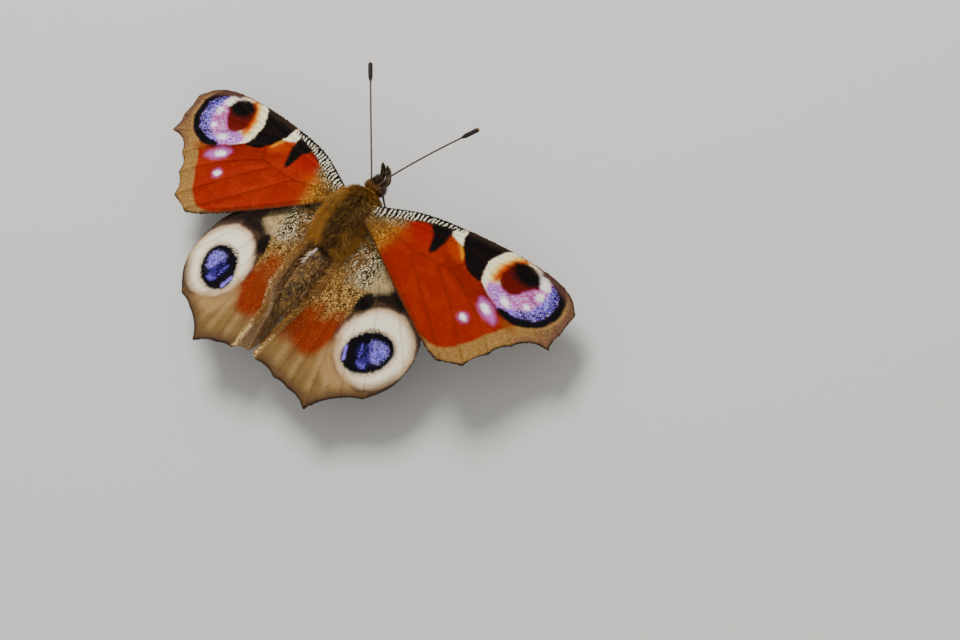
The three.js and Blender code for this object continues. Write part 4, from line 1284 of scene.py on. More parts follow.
def blades(root, ahead, up, length, half_width, rise, bend, colours, unwrap):
    """Ten points a blade: three rings of left, right and ridge, and the tip."""
    count = len(root)
    length, half_width, rise, bend = (
        np.broadcast_to(value, count)[:, None] for value in (length, half_width, rise, bend)
    )
    aside = unit(np.cross(ahead, up))
    along = blade_places
    forward = along * length
    height = rise * (1.7 * along - 0.85 * along ** 2) * length - root_depth
    sideways = bend * along ** 2 * length
    spine = root[:, None] + ahead[:, None] * forward[..., None]
    spine += up[:, None] * height[..., None] + aside[:, None] * sideways[..., None]
    half = (half_width * blade_widths)[..., None]
    left, right = spine[:, :3] - aside[:, None] * half, spine[:, :3] + aside[:, None] * half
    ridge = spine[:, :3] + up[:, None] * half * 0.9
    rings = np.stack([left, right, ridge], 2).reshape(count, 9, 3)
    points = np.concatenate([rings, spine[:, 3:]], 1).reshape(-1, 3)
    faces = [(0, 2, 1)]
    for ring in (0, 3):
        for side in range(3):
            here, there = ring + side, ring + (side + 1) % 3
            faces += [(here, there, there + 3), (here, there + 3, here + 3)]
    faces += [(6, 7, 9), (7, 8, 9), (8, 6, 9)]
    faces = (10 * np.arange(count)[:, None, None] + np.array(faces)).reshape(-1, 3)
    # Painted shade at the root of each blade and painted light at its tip.
    shade = np.concatenate([np.repeat(painted_shade_and_light_along_blade[:3], 3), painted_shade_and_light_along_blade[3:]])
    colours = np.clip(colours[:, None] * shade[None, :, None], 0, 1).reshape(-1, 3)
    spread = np.array([(-1, -1), (1, -1), (0, -1), (-1, 0), (1, 0), (0, 0), (-1, 1), (1, 1), (0, 1), (0, 1)])
    unwrap = (unwrap[:, None] + patch_of_blade * spread).reshape(-1, 2)
    return points, faces, colours, unwrap


# %% Nets of rings, for every closed tube
def ring_net(rings, around):
    """The faces over rings of points, closed by two fans about the last two points."""
    i, j = (part.ravel() for part in np.meshgrid(np.arange(rings - 1), np.arange(around), indexing="ij"))
    a, b = i * around + j, i * around + (j + 1) % around
    c, d = b + around, a + around
    here, beside = np.arange(around), (np.arange(around) + 1) % around
    front_tip = np.full(around, rings * around)
    last_ring = (rings - 1) * around
    return np.vstack([
        np.stack([a, b, c], 1),
        np.stack([a, c, d], 1),
        np.stack([front_tip, beside, here], 1),
        np.stack([front_tip + 1, last_ring + here, last_ring + beside], 1),
    ])


print("faces on a tube of 3 rings of 8 points:", len(ring_net(3, 8)))

# %% [markdown]
# ## The skin of the body
#
# Under the fur, the head, thorax and abdomen are one skin: a tube of ellipses along the body, closed at both
# ends. A short profile gives the half width at each place along the body. The abdomen's rings are a small
# ripple added to it. The skin is smaller than the solids by the depth of the coat, and it carries the coat's
# colours, darkened as painted shade under the coat, so that a gap between two tufts doesn't show.

# %% Profile of the body
profile = curve_through([
    (7.85, 0.15), (7.6, 0.75), (7.2, 0.98), (6.8, 1.05), (6.4, 1.0), (6.05, 0.85), (5.8, 1.05),
    (5.4, 1.5), (4.9, 1.95), (4.2, 2.25), (3.2, 2.45), (2, 2.5), (0.8, 2.42), (-0.5, 2.2), (-1.6, 1.85),
    (-2.6, 1.5), (-3.4, 1.25), (-3.9, 1.25), (-4.6, 1.45), (-6, 1.6), (-8, 1.62), (-9.5, 1.45),
    (-10.8, 1.12), (-11.8, 0.72), (-12.4, 0.38), (-12.65, 0.1),
], 0.05)[::-1]
middle = curve_through([
    (-12.7, 0.3, -0.45), (-10, 0.1, -0.2), (-7, 0, -0.05), (-3.9, 0, 0.1), (-3.6, 0, 0.15), (0.6, 0, 0.45),
    (3.4, 0, 0.6), (5.75, 0, 0.72), (7, 0, 0.58), (7.9, 0, 0.4),
], 0.1)
first_ring, ring_length, ring_depth = -4.4, 1.02, 0.05
height_share = 0.96


def body_point(y, angle, outside=0.0):
    """A place on the skin; the angle is 0 along the back and half a turn along the underside."""
    width = np.interp(y, profile[:, 0], profile[:, 1]) + outside
    rings = ((first_ring - y) / ring_length) % 1
    width = width + ring_depth * (rings - 0.5) * soft_step((-4 - y) / 0.6) * soft_step((y + 12) / 1)
    height = width * height_share
    x = np.interp(y, middle[:, 0], middle[:, 1]) + width * np.sin(angle)
    z = np.interp(y, middle[:, 0], middle[:, 2]) + height * np.cos(angle)
    return np.stack([x, y + 0 * x, z], -1)


def body_unwrap(y, angle):
    return np.stack([0.5 + angle / (2 * np.pi) * 0.96, (y + 13) / 22], -1)


print("widest place of the skin in mm:", round(2 * profile[:, 1].max(), 2))


# %% Colours of the body
def paint_body(y, angle):
    brush = Brush(np.ravel(y), np.ravel(angle), by_scale=False, seed=3)
    y, angle = brush.x, brush.y
    brush.blend((182, 132, 54), 1)
    # The darker band along the back is shifted to the right, where the camera looks down into the fur: partly
    # the thorax's own dark colour, partly painted shade. The lighter flanks beside it are partly painted
    # light that makes up for their shade.
    dark_back_and_painted_shade = soft_step((0.85 - np.abs(angle - 0.25)) / 0.5)
    brush.blend((98, 70, 28), dark_back_and_painted_shade * soft_step((y + 3.4) / 1.5) * soft_step(5.5 - y))
    brush.blend((98, 70, 26), 0.6 * soft_step((y - 4.4) / 1))
    waist = soft_step((-2.3 - y) / 0.5) * soft_step((y + 4) / 0.5)
    brush.blend((46, 30, 12), waist)
    abdomen = soft_step((-3.5 - y) / 0.5)
    brush.blend((138, 102, 56), abdomen)
    brush.flecks((52, 38, 20), size=0.45, seed=211, share=0.45, within=0.7 * abdomen)
    brush.blend((96, 70, 36), soft_step((y - 6) / 0.5))
    underside = soft_step((np.abs(angle) - 1.9) / 0.6)
    brush.blend((56, 40, 24), 0.85 * underside)
    return brush.colours


def plain(colour, count):
    """The same colour for a number of points."""
    return np.tile(tint(*colour), (count, 1))


print("the middle of the thorax on the back:", paint_body([2.0], [0.0]).round(3))

# %% Skin
ring_places = np.concatenate([[7.85], np.arange(7.8, -12.6, -0.1), [-12.65]])
around = 72
angles = np.linspace(-np.pi, np.pi, around + 1)[:-1]
grid_y, grid_angle = np.meshgrid(ring_places, angles, indexing="ij")
points = body_point(grid_y.ravel(), grid_angle.ravel())
tips = np.array([points[:around].mean(0), points[-around:].mean(0)])
skin_points = np.vstack([points, tips])
print("rings of the skin:", len(ring_places))

# %% The skin's unwrap, cut open along the underside, and its colours
rows = np.repeat(np.arange(len(ring_places) - 1), around)
columns = np.tile(angles, len(ring_places) - 1)
step_round = 2 * np.pi / around
corner = [
    body_unwrap(ring_places[rows + down], columns + beside * step_round)
    for down, beside in ((0, 0), (0, 1), (1, 1), (1, 0))
]
halves = [np.stack([corner[k] for k in triangle], 1) for triangle in ((0, 1, 2), (0, 2, 3))]
end_corners = np.stack([body_unwrap(np.repeat([7.9, -12.7], around), np.tile(angles, 2))] * 3, 1)
unwrap = np.vstack(halves + [end_corners])
# The skin is a darker copy of the coat's colours: painted shade under the coat.
painted_shade_under_coat = 0.55
colours = np.vstack([paint_body(grid_y, grid_angle) * painted_shade_under_coat, plain((60, 44, 28), 2)])
skin = skin_points, ring_net(len(ring_places), around), colours, unwrap
skin_material = marked_material("skin_material", roughness=0.8, sheen=0.2, grain_size=0.15, bump_height=0.05)
piece("body_skin", skin, skin_material, ("thorax", "abdomen", "head"))

# %% [markdown]
# ## The coat of the body
#
# Roots are spread over the skin at random, but evenly for its area. Each blade lies backwards along the body,
# and a soft cloud turns whole groups of them together, so that they form locks. Fur is long and lifted on
# the thorax, short at the waist and on the abdomen, stands up as a collar behind the head, and is combed
# forwards on the head. The same function makes all five coats, each from its own few sizes.

# %% Roots spread over the skin
def roots_on_body(low, high, count, seed):
    random = np.random.default_rng(seed)
    y = random.uniform(low, high, 3 * count)
    width = np.interp(y, profile[:, 0], profile[:, 1])
    y = y[random.random(len(y)) < width / width.max()][:count]
    return y, random.uniform(-np.pi, np.pi, len(y)), random


def frame_on_body(y, angle):
    """Each place on the skin, with the directions backwards, round the body and outwards."""
    small, small_angle, below = 0.1, 0.02, -0.2
    here = body_point(y, angle)
    backwards = unit(body_point(y - small, angle) - body_point(y + small, angle))
    round_it = unit(body_point(y, angle + small_angle) - body_point(y, angle - small_angle))
    up = unit(np.cross(backwards, round_it))
    up *= np.sign(((here - body_point(y, angle, below)) * up).sum(1))[:, None]
    return here, backwards, round_it, up


print("outwards on the back:", frame_on_body(np.array([2.0]), np.array([0.0]))[3].round(2))

# %% Colours of single hairs
golden_tips = (196, 152, 84)


def hair_colours(base, random, pale_share, pale=golden_tips, variety=0.28):
    """Each hair a little lighter or darker than its neighbours, and some of them pale."""
    colours = base * np.clip(random.normal(1, variety, len(base)), 0.3, 1.9)[:, None]
    is_pale = random.random(len(base)) < pale_share
    colours[is_pale] += (tint(*pale) - colours[is_pale]) * 0.7
    return np.clip(colours, 0, 1)


hair_material = marked_material("hair_material", roughness=0.6, shine=0.2, grain_size=0.3, bump_height=0.01)
print("a hair's tips can be as pale as", tint(*golden_tips).round(3))

# %% Coats that lie along the body
length_variety, width_variety = (0.6, 1.2), (0.7, 1.2)
bend_variety = 0.2


def coat(name, low, high, count, length, half_width, rise, spread, pale_share, seed, forwards=False,
         keep=None, slot="body_hair", **shades):
    """Hair between two places along the body; spread is how far the locks are turned from each other."""
    y, angle, random = roots_on_body(low, high, count, seed)
    if keep is not None:
        kept = keep(y, angle)
        y, angle = y[kept], angle[kept]
    here, backwards, round_it, up = frame_on_body(y, angle)
    lean = 2 * spread * (cloud(y, angle * 2, 0.8, seed + 50) - 0.5) + random.normal(0, 0.5 * spread, len(y))
    ahead = unit((-backwards if forwards else backwards) + round_it * lean[:, None])
    lock = 0.6 + 0.8 * cloud(y, angle * 2, 0.5, seed + 60)
    hairs = blades(
        here, ahead, up, colours=hair_colours(paint_body(y, angle), random, pale_share, **shades),
        length=length * random.uniform(*length_variety, len(y)),
        half_width=half_width * random.uniform(*width_variety, len(y)),
        rise=rise * lock, bend=random.normal(0, bend_variety, len(y)), unwrap=body_unwrap(y, angle),
    )
    piece(name, hairs, hair_material)


coat("thorax_hair", low=-2.2, high=5.6, count=10000, length=1.4, half_width=0.031, rise=0.5, spread=0.6,
     pale_share=0.12, seed=1)
coat("waist_hair", low=-3.4, high=-1.7, count=1500, length=0.7, half_width=0.03, rise=0.4, spread=0.5,
     pale_share=0.05, seed=8)
coat("abdomen_hair", low=-12.5, high=-3.2, count=9500, length=0.55, half_width=0.032, rise=0.16, spread=0.4,
     pale_share=0.22, seed=2, pale=(222, 186, 122), variety=0.65)
coat("neck_hair", low=4.9, high=6.2, count=3200, length=0.85, half_width=0.026, rise=0.95, spread=0.5,
     pale_share=0.1, seed=6)

# %% The head's hair keeps clear of the eyes
eye_place = np.array([0.94, 7, 0.62])
eye_radii = np.array([0.56, 0.76, 0.85])
clearance = 1.25


def clear_of_eyes(y, angle):
    here = body_point(y, angle)
    here[:, 0] = np.abs(here[:, 0])
    return (((here - eye_place) / eye_radii) ** 2).sum(1) > clearance


coat("head_hair", low=5.5, high=7.8, count=8500, length=0.75, half_width=0.024, rise=0.6, spread=0.5,
     pale_share=0.08, seed=3, forwards=True, keep=clear_of_eyes, slot="head_scales")

# %% [markdown]
# ## Hair that is combed aside
#
# Some hair doesn't follow the body. A dark brush hangs forwards between the feelers, long hair spreads from
# the thorax over the roots of the wings, and thin hair reaches from the flanks of the abdomen towards the
# folds, so that no floor shows between them. These are the same blades, given their own directions. The pale
# lock at the front of the abdomen lies backwards like the coat, but follows a short line.

# %% A brush of dark hair between the feelers, combed towards the palps
random, count = np.random.default_rng(9), 1400
y, angle = random.uniform(6.7, 7.7, count), random.uniform(-1.3, 1.3, count)
root = body_point(y, angle)
ahead = np.stack([-0.45 * root[:, 0], np.full(count, 0.85), np.full(count, 0.5)], 1)
ahead = unit(ahead + random.normal(0, 0.12, (count, 3)))
colours = hair_colours(plain((58, 40, 20), count), random, 0.1, pale=(164, 140, 104), variety=0.3)
length = random.uniform(0.6, 1.25, count)
rise, bend = random.uniform(0.0, 0.25, count), random.normal(0, 0.15, count)
kept = clear_of_eyes(y, angle)
brow = blades(root[kept], ahead[kept], upright_to(ahead[kept]), length[kept], 0.024, rise[kept], bend[kept],
              colours[kept], body_unwrap(y, angle)[kept])
piece("brow_hair", brow, hair_material)

# %% Long hair from the thorax over the roots of the wings
random, count = np.random.default_rng(4), 6000
side = random.choice([-1, 1], count)
y = random.uniform(-2.2, 5.2, count)
above_wing = 0.95 - 0.45 * soft_step((y - 0.8) / 1.4)
angle = side * (above_wing + random.uniform(-0.25, 0.2, count))
ahead = unit(np.stack([
    side * random.uniform(0.6, 1.0, count),
    random.uniform(-1.0, -0.25, count),
    -0.1 - 0.35 * (above_wing - 0.5),
], 1))
fringe = blades(
    body_point(y, angle), ahead, upright_to(ahead),
    colours=hair_colours(paint_body(y, angle), random, 0.15),
    length=random.uniform(1.3, 2.5, count), half_width=random.uniform(0.018, 0.034, count),
    rise=random.uniform(0.05, 0.3, count), bend=random.normal(0, 0.2, count), unwrap=body_unwrap(y, angle),
)
piece("thorax_fringe", fringe, hair_material)

# %% Hair from the flanks of the abdomen towards the folds of the wings
random, count = np.random.default_rng(10), 3600
side = random.choice([-1, 1], count)
y = random.uniform(-12.3, -2.8, count)
angle = side * random.uniform(0.95, 1.65, count)
ahead = unit(np.stack([
    side * random.uniform(0.5, 1.0, count),
    random.uniform(-1.0, -0.4, count),
    random.uniform(-0.15, 0.15, count),
], 1))
flank = blades(
    body_point(y, angle), ahead, upright_to(ahead),
    colours=hair_colours(plain((118, 86, 48), count), random, 0.22, pale=(206, 170, 116), variety=0.35),
    length=random.uniform(0.5, 1.15, count), half_width=random.uniform(0.018, 0.03, count),
    rise=random.uniform(0.0, 0.2, count), bend=random.normal(0, 0.2, count), unwrap=body_unwrap(y, angle),
)
piece("flank_hair", flank, hair_material)

# %% A pale lock at the front of the abdomen, on the left
random, count = np.random.default_rng(5), 150
lock_start, lock_end = np.array([-3.3, -0.5]), np.array([-5.5, -0.42])
at = random.beta(1, 1.5, count)[:, None]
at = at + 0.14 * (at > 0.6)
y, angle = (lock_start + (lock_end - lock_start) * at + random.normal(0, 0.1, (count, 2))).T
here, backwards, round_it, up = frame_on_body(y, angle)
pale = np.clip(plain((236, 216, 200), count) * random.normal(1, 0.12, (count, 1)), 0, 1)
lock = blades(
    here, backwards, up, length=random.uniform(0.5, 0.9, count), half_width=0.03, rise=0.55,
    bend=random.normal(0, 0.3, count), colours=pale, unwrap=body_unwrap(y, angle),
)
piece("pale_lock", lock, hair_material)


# %% [markdown]
# ## Tubes: feelers, tongue, palps and legs
#
# The thin parts are tubes along a smooth path. At each step the ring of the step before is turned as little
# as possible, so that the tube doesn't twist. The radius may change along the way, which makes joints,
# rings and clubs without any further modelling.

# %% A tube along a path
off_axis = (0.3, 0.5, 0.8)


def tube(path, radius, sides, shades):
    """A closed tube; the radius may change along the path, and each step of it has its own shade."""
    path = np.asarray(path, float)
    ahead = unit(np.gradient(path, axis=0))
    radius = np.broadcast_to(radius, len(path))
    aside = np.cross(ahead[0], off_axis)
    rings = []
    angle = np.linspace(0, 2 * np.pi, sides, endpoint=False)
    for centre, forward, size in zip(path, ahead, radius):
        aside = unit(aside - forward * (aside @ forward))
        other = np.cross(forward, aside)
        rings.append(centre + size * (np.cos(angle)[:, None] * aside + np.sin(angle)[:, None] * other))
    points = np.vstack(rings + [path[:1], path[-1:]])
    share = np.linspace(0, 1, len(path))
    unwrap = np.stack([np.tile(np.arange(sides) / sides, len(path)), np.repeat(share, sides)], 1)
    unwrap = np.vstack([unwrap, [(0.5, 0), (0.5, 1)]])
    colours = np.vstack([np.repeat(shades, sides, 0), shades[:1], shades[-1:]])
    return points, ring_net(len(path), sides), colours, unwrap


def joined(forms):
    """Several forms as one."""
    points, faces, colours, unwrap = zip(*forms)
    start = np.cumsum([0] + [len(part) for part in points])
    faces = [part + first for part, first in zip(faces, start)]
    return np.vstack(points), np.vstack(faces), np.vstack(colours), np.vstack(unwrap)


def mixed(shades, colour, share):
    """Shades with a share of another colour laid over each."""
    return shades + (tint(*colour) - shades) * share[:, None]


both_sides = {"left": -1, "right": 1}
short_tube = tube([(0, 0, 0), (0, 0, 1), (0, 1, 2)], 0.1, 8, plain((90, 60, 40), 3))
print("faces of a short tube:", len(short_tube[1]))

# %% Feelers
antenna_path = curve_through([(0.5, 6.9, 1.2), (1.5, 8.6, 2.2), (5.1, 13.5, 4), (9.3, 19, 5.6)], 0.06)
antenna_run = np.linspace(0, 15.1, len(antenna_path))
segment_length = 0.36
shaft_radius, club_swelling, ring_swelling = 0.105, 0.18, 0.014
rounded_tip = (0.98, 0.94, 0.86, 0.72, 0.52, 0.28)
antenna_sides = 14
in_segment = (antenna_run / segment_length) % 1
club = soft_step((antenna_run - 12.4) / 0.9) * soft_step((15.35 - antenna_run) / 0.55)
radius = shaft_radius + club_swelling * club + ring_swelling * np.sin(np.pi * in_segment)
radius[-len(rounded_tip):] *= rounded_tip
shades = plain((84, 62, 44), len(antenna_path))
shades = mixed(shades, (176, 160, 136), 0.6 * soft_step((0.25 - in_segment) / 0.1) * (1 - club))
shades = mixed(shades, (40, 30, 23), club)
shades = mixed(shades, (200, 160, 104), soft_step((antenna_run - 14.9) / 0.15))
antenna_material = marked_material("antenna_material", roughness=0.5, grain_size=0.1, bump_height=0.01)
for label, side in both_sides.items():
    feeler = tube(antenna_path * (side, 1, 1), radius, antenna_sides, shades)
    piece("antenna_" + label, feeler, antenna_material, ("antenna_" + label,))

# %% Tongue
tongue_path = curve_through([
    (0, 7.1, 0), (0, 7.3, -1.2), (0, 6.8, -2.8), (0, 6.4, -4.6), (0, 6.7, -6.45),
], 0.08)
tongue_radius = np.linspace(0.16, 0.1, len(tongue_path))
every_third = np.arange(len(tongue_path)) % 3 == 0
shades = tint(96, 56, 26) * (0.8 + 0.35 * every_third)[:, None]
horn_material = marked_material("horn_material", roughness=0.4, grain_size=0.1, bump_height=0.01)
tongue = tube(tongue_path, tongue_radius, 14, shades)
piece("tongue", tongue, horn_material, ("proboscis",))

# %% Palps: a slim core under scales that lie forwards along it
palp_step = 0.08
palp_path = curve_through([(0.46, 7.2, 0), (0.5, 8.4, 0.2), (0.46, 9.2, 1.1), (0.4, 9.6, 2.2)], palp_step)
palp_steps = np.arange(len(palp_path))
palp_radius = np.interp(palp_steps / palp_steps[-1], [0, 0.2, 0.6, 0.85, 1], [0.2, 0.29, 0.29, 0.2, 0.06])
palp_brown, palp_pale = (70, 52, 28), (184, 168, 136)
palp_material = marked_material("palp_material", roughness=0.65, shine=0.2, grain_size=0.15)
for label, side in both_sides.items():
    random, count = np.random.default_rng(80 + side), 1700
    path = palp_path * (side, 1, 1)
    core = tube(path, palp_radius, 16, plain((56, 38, 20), len(path)))
    at = random.uniform(0, len(path) - 2, count)
    angle = random.uniform(-np.pi, np.pi, count)
    lower = at.astype(int)
    ahead = unit(path[lower + 1] - path[lower])
    aside = unit(np.cross(ahead, (1, 0, 0)))
    up = np.cos(angle)[:, None] * aside + np.sin(angle)[:, None] * np.cross(ahead, aside)
    root = path[lower] + ahead * ((at - lower) * palp_step)[:, None]
    root = root + up * np.interp(at, palp_steps, palp_radius)[:, None]
    outer_side = soft_step((side * up[:, 0] - 0.3) / 0.4)
    is_pale = random.random(count) < 0.1 + 0.25 * outer_side
    colours = mixed(plain(palp_brown, count), palp_pale, is_pale)
    colours = np.clip(colours * random.normal(1, 0.25, count)[:, None], 0, 1)
    along = at / len(path)
    tufts = blades(
        root, ahead, up, length=random.uniform(0.4, 0.8, count) * (1 - 0.45 * along), half_width=0.03,
        rise=random.uniform(0.1, 0.35, count), bend=random.normal(0, 0.1, count), colours=colours,
        unwrap=np.stack([0.5 + angle / (2 * np.pi) * 0.96, 0.02 + 0.96 * along], 1),
    )
    piece("palp_" + label, joined([core, tufts]), palp_material, ("palp_" + label,))

# %% [markdown]
# ## Legs
#
# Each walking leg is one piece of three tubes: the thick first part, the slimmer second one, and a foot of
# five joints with two claws, lying on the ground. The forelegs are short and have no feet, as in this family
# of butterflies. Short hair covers them all, and is left out where it would go into the floor.

# %% One straight part of a leg
leg_sides = 12
leg_step = 0.08
joint_swelling = 0.14


def leg_part(start, end, radii, joints, colour):
    """The form of one part, with its path and radius; the joints of a foot are thicker and darker."""
    count = max(6, int(np.linalg.norm(end - start) / leg_step))
    share = np.linspace(0, 1, count)
    path = start + (end - start) * share[:, None]
    radius = np.interp(share, np.linspace(0, 1, len(radii)), radii)
    at_joint = np.abs((share * joints) % 1 - 0.5) * 2 if joints else np.zeros(count)
    radius = radius * (1 + joint_swelling * at_joint ** 3)
    radius[[0, -1]] *= 0.5
    shades = tint(*colour) * (1 - 0.5 * at_joint ** 6)[:, None]
    return tube(path, radius, leg_sides, shades), path, radius


# %% Hair on one part of a leg
hairs_per_mm = 100
ground = -standing_height


def leg_hair(path, radius, length_share, random):
    along = path[-1] - path[0]
    reach = np.linalg.norm(along)
    count = int(hairs_per_mm * reach)
    at, angle = random.uniform(0.03, 0.93, count), random.uniform(-np.pi, np.pi, count)
    ahead = along / reach
    aside = unit(np.cross(ahead, off_axis))
    up = np.cos(angle)[:, None] * aside + np.sin(angle)[:, None] * np.cross(ahead, aside)
    surface = np.interp(at, np.linspace(0, 1, len(radius)), radius) * 0.98
    root = path[0] + along * at[:, None] + up * surface[:, None]
    length = random.uniform(0.2, 0.36, count) * length_share
    colours = hair_colours(plain((112, 84, 54), count), random, 0.15, pale=(188, 164, 128), variety=0.35)
    unwrap = np.stack([0.5 + angle * 0.15, 0.02 + 0.96 * at], 1)
    keep = root[:, 2] + up[:, 2] * 0.1 >= ground + 0.12
    count = keep.sum()
    return blades(
        root[keep], np.tile(ahead, (count, 1)), up[keep], length[keep], half_width=0.022,
        rise=random.uniform(0.12, 0.45, count), bend=random.normal(0, 0.15, count),
        colours=colours[keep], unwrap=unwrap[keep],
    )


# %% One leg from its joints
claw_radii = (0.05, 0.045, 0.015)
hair_length_shares = (1.7, 1.1, 0.6)
joints_of_foot = 5
leg_material = marked_material("leg_material", roughness=0.55, sheen=0.1, grain_size=0.12)


def leg(name, joints, radii, seed):
    """A leg has one part between each two joints; a third part is the foot."""
    random = np.random.default_rng(seed)
    made = []
    for number, part_radii in enumerate(radii):
        swells = joints_of_foot if number == 2 else 0
        form, path, radius = leg_part(joints[number], joints[number + 1], part_radii, swells, (92, 70, 50))
        made += [form, leg_hair(path, radius, hair_length_shares[number], random)]
    if len(radii) > 2:
        toe = joints[3]
        forward = unit(toe - joints[2])
        across = np.cross(forward, (0, 0, 1))
        for way in (-1, 1):
            tip = toe + forward * 0.22 + across * way * 0.14 - np.array([0, 0, 0.08])
            made.append(leg_part(toe - forward * 0.05, tip, claw_radii, 0, (40, 26, 18))[0])
    points, faces, colours, unwrap = joined(made)
    points[:, 2] = np.maximum(points[:, 2], ground)
    piece(name, (points, faces, colours, unwrap), leg_material, (name,))


# %% All six legs
foot_height = ground + 0.16
femur, tibia, tarsus = (0.2, 0.3, 0.32, 0.26, 0.2), (0.18, 0.2, 0.2, 0.2, 0.17), (0.15, 0.15, 0.14, 0.13, 0.1)
foreleg_tibia = (0.18, 0.22, 0.22, 0.2, 0.1)
legs = {
    "midleg": (
        [(0.9, 2.2, -1.6), (4.1, 3.9, -2.7), (6.2, 4.6, foot_height), (8.8, 6.2, foot_height)],
        (femur, tibia, tarsus), 300,
    ),
    "hindleg": (
        [(0.9, -0.9, -1.6), (4, -3.9, -2.6), (5.7, -7.6, foot_height), (6.9, -11.2, foot_height)],
        (femur, tibia, tarsus), 310,
    ),
    "foreleg": ([(0.95, 3.9, -0.9), (1.25, 6.1, -2.3), (1.15, 4.2, -3.2)], (femur, foreleg_tibia), 320),
}
for label, side in both_sides.items():
    for kind, (joints, radii, seed) in legs.items():
        leg(kind + "_" + label, np.array(joints) * (side, 1, 1), radii, seed + side)

# %% [markdown]
# ## Eyes
#
# A butterfly's eye is thousands of lenses. A ball of even triangles has a corner at the middle of each lens,
# and these corners are raised a little and painted lighter, a painted glitter, before the ball is stretched
# to the eye's shape. Real facets could be cut one by one, but at this size only their glitter is seen.

# %% A ball with a corner for each lens
ball = bmesh.new()
bmesh.ops.create_icosphere(ball, subdivisions=5, radius=1)
lenses = len(ball.verts)
bmesh.ops.subdivide_edges(ball, edges=ball.edges, cuts=1, use_grid_fill=True)
bmesh.ops.triangulate(ball, faces=ball.faces)
ball.verts.index_update()
directions = np.array([tuple(vertex.co.normalized()) for vertex in ball.verts])
ball_faces = np.array([[vertex.index for vertex in face.verts] for face in ball.faces])
ball.free()
print("lenses in an eye:", lenses)

# %% Eyes
lens_rise = 0.012
inside_the_hair = 0.02
is_lens = (np.arange(len(directions)) < lenses)[:, None]
bulging = directions * np.where(is_lens, 1 + lens_rise, 1) * (eye_radii - inside_the_hair)
# Painted light: the eye is lighter towards its top, painted light from above, and each lens is painted
# lighter than the corners between them, a painted glitter.
height = soft_step(directions[:, 2] * 0.5 + 0.5)
brown = mixed(plain((44, 26, 20), len(directions)), (96, 62, 46), 0.5 * height) * np.where(is_lens, 1.3, 0.6)
longitude = np.arctan2(directions[:, 1], directions[:, 0])
unwrap = np.stack([0.5 + longitude / 6.4, 0.5 + directions[:, 2] / 2.1], 1)
eye_material = marked_material("eye_material", roughness=0.3, shine=0.25, coat=0.1, grain_size=0.4,
                               bump_height=0.0)
for label, side in both_sides.items():
    eye = bulging + eye_place * (side, 1, 1), ball_faces, brown, unwrap
    piece("eye_" + label, eye, eye_material, ("eye_" + label,))

# %% [markdown]
# ## Hair on the wings
#
# Golden hair covers the roots of the wings. On the hindwings a fringe leans from each fold towards the
# abdomen, and short hair stands along the free rim below it, which closes the slit beside the body. The hairs
# are laid on the flat drawing, where their places and directions are easy to say, and one function carries
# them to the wing in the air.

# %% Blades from places and directions on the drawing
def hair_on_wing(name, pose, x, y, ahead, length, colours, rise, half_width, seed):
    random = np.random.default_rng(seed)
    small, lift = 0.05, 0.05
    root = on_wing(pose, x, y, lift)
    along = unit(on_wing(pose, x + small * ahead[:, 0], y + small * ahead[:, 1], lift) - root)
    across = on_wing(pose, x - small * ahead[:, 1], y + small * ahead[:, 0], lift) - root
    up = unit(np.cross(along, across) * pose["side"])
    hairs = blades(
        root, along, up, length, half_width * random.uniform(*width_variety, len(x)), rise,
        bend=random.normal(0, 0.12, len(x)), colours=colours, unwrap=on_map(x, y),
    )
    piece(name, hairs, hair_material)


# %% Golden hair over the wing roots
root_hairs = 5000


def over_forewing_root(random):
    """Places, directions and how likely a hair is at each place, but none on the barred front edge."""
    x, y = random.uniform(-1.5, 4.6, root_hairs), random.uniform(-3, 4, root_hairs)
    bearing = random.normal(0.05, 0.2, root_hairs) + 0.1 * y
    off_the_bars = soft_step((from_line(x, y, forewing["front_line"])[0] - 1.3) / 0.6)
    return x, y, bearing, 0.6 * soft_step((3.9 - x) / 3.2) * (0.1 + 0.9 * off_the_bars)


def over_hindwing_root(random):
    x, y = random.uniform(-0.8, 5.2, root_hairs), random.uniform(-17, 2.2, root_hairs)
    bearing = random.normal(-1.3, 0.22, root_hairs) + 0.12 * x
    at_root = soft_step((4.6 - x) / 2.6) * soft_step((y + 8) / 5)
    return x, y, bearing, np.maximum(at_root, 0.5 * soft_step((3.4 - x) / 0.8))


for number, (name, pose) in enumerate(poses.items()):
    random = np.random.default_rng(400 + number)
    over_root = over_forewing_root if pose["drawing"] is forewing else over_hindwing_root
    x, y, bearing, share = over_root(random)
    kept = (look_up(pose["drawing"]["edge_distance"], x, y) < -0.5) & (random.random(root_hairs) < share)
    x, y, bearing = x[kept], y[kept], bearing[kept]
    gold = hair_colours(plain((152, 106, 40), len(x)), random, 0.2, pale=(206, 162, 92))
    hair_on_wing(name + "_hair", pose, x, y, headings(bearing), random.uniform(0.8, 1.7, len(x)), gold,
                 rise=random.uniform(0.06, 0.2, len(x)), half_width=0.024, seed=500 + number)

# %% A fringe from each fold towards the abdomen
folded_wings = {name: pose for name, pose in poses.items() if "fold" in pose}
tried, fringe_hairs = 30000, 2400
for number, (name, pose) in enumerate(folded_wings.items()):
    random = np.random.default_rng(440 + number)
    x, y = random.uniform(-0.9, 6, tried), random.uniform(-15, 0.4, tried)
    inside = inside_fold(pose, x, y)
    kept = (inside > -0.6) & (inside < 0.05) & (look_up(hindwing["edge_distance"], x, y) < -0.3)
    kept &= random.random(tried) < 0.7 - 0.4 * soft_step((-y - 6) / 4) + 0.6 * soft_step((-y - 11) / 1.5)
    x, y = x[kept][:fringe_hairs], y[kept][:fringe_hairs]
    ahead = headings(random.normal(-2.25, 0.3, len(x)))
    gold = hair_colours(plain((150, 106, 50), len(x)), random, 0.3, pale=(214, 174, 108))
    hair_on_wing(name + "_fringe", pose, x, y, ahead, random.uniform(0.6, 1.3, len(x)), gold,
                 rise=random.uniform(0.1, 0.3, len(x)), half_width=0.022, seed=510 + number)

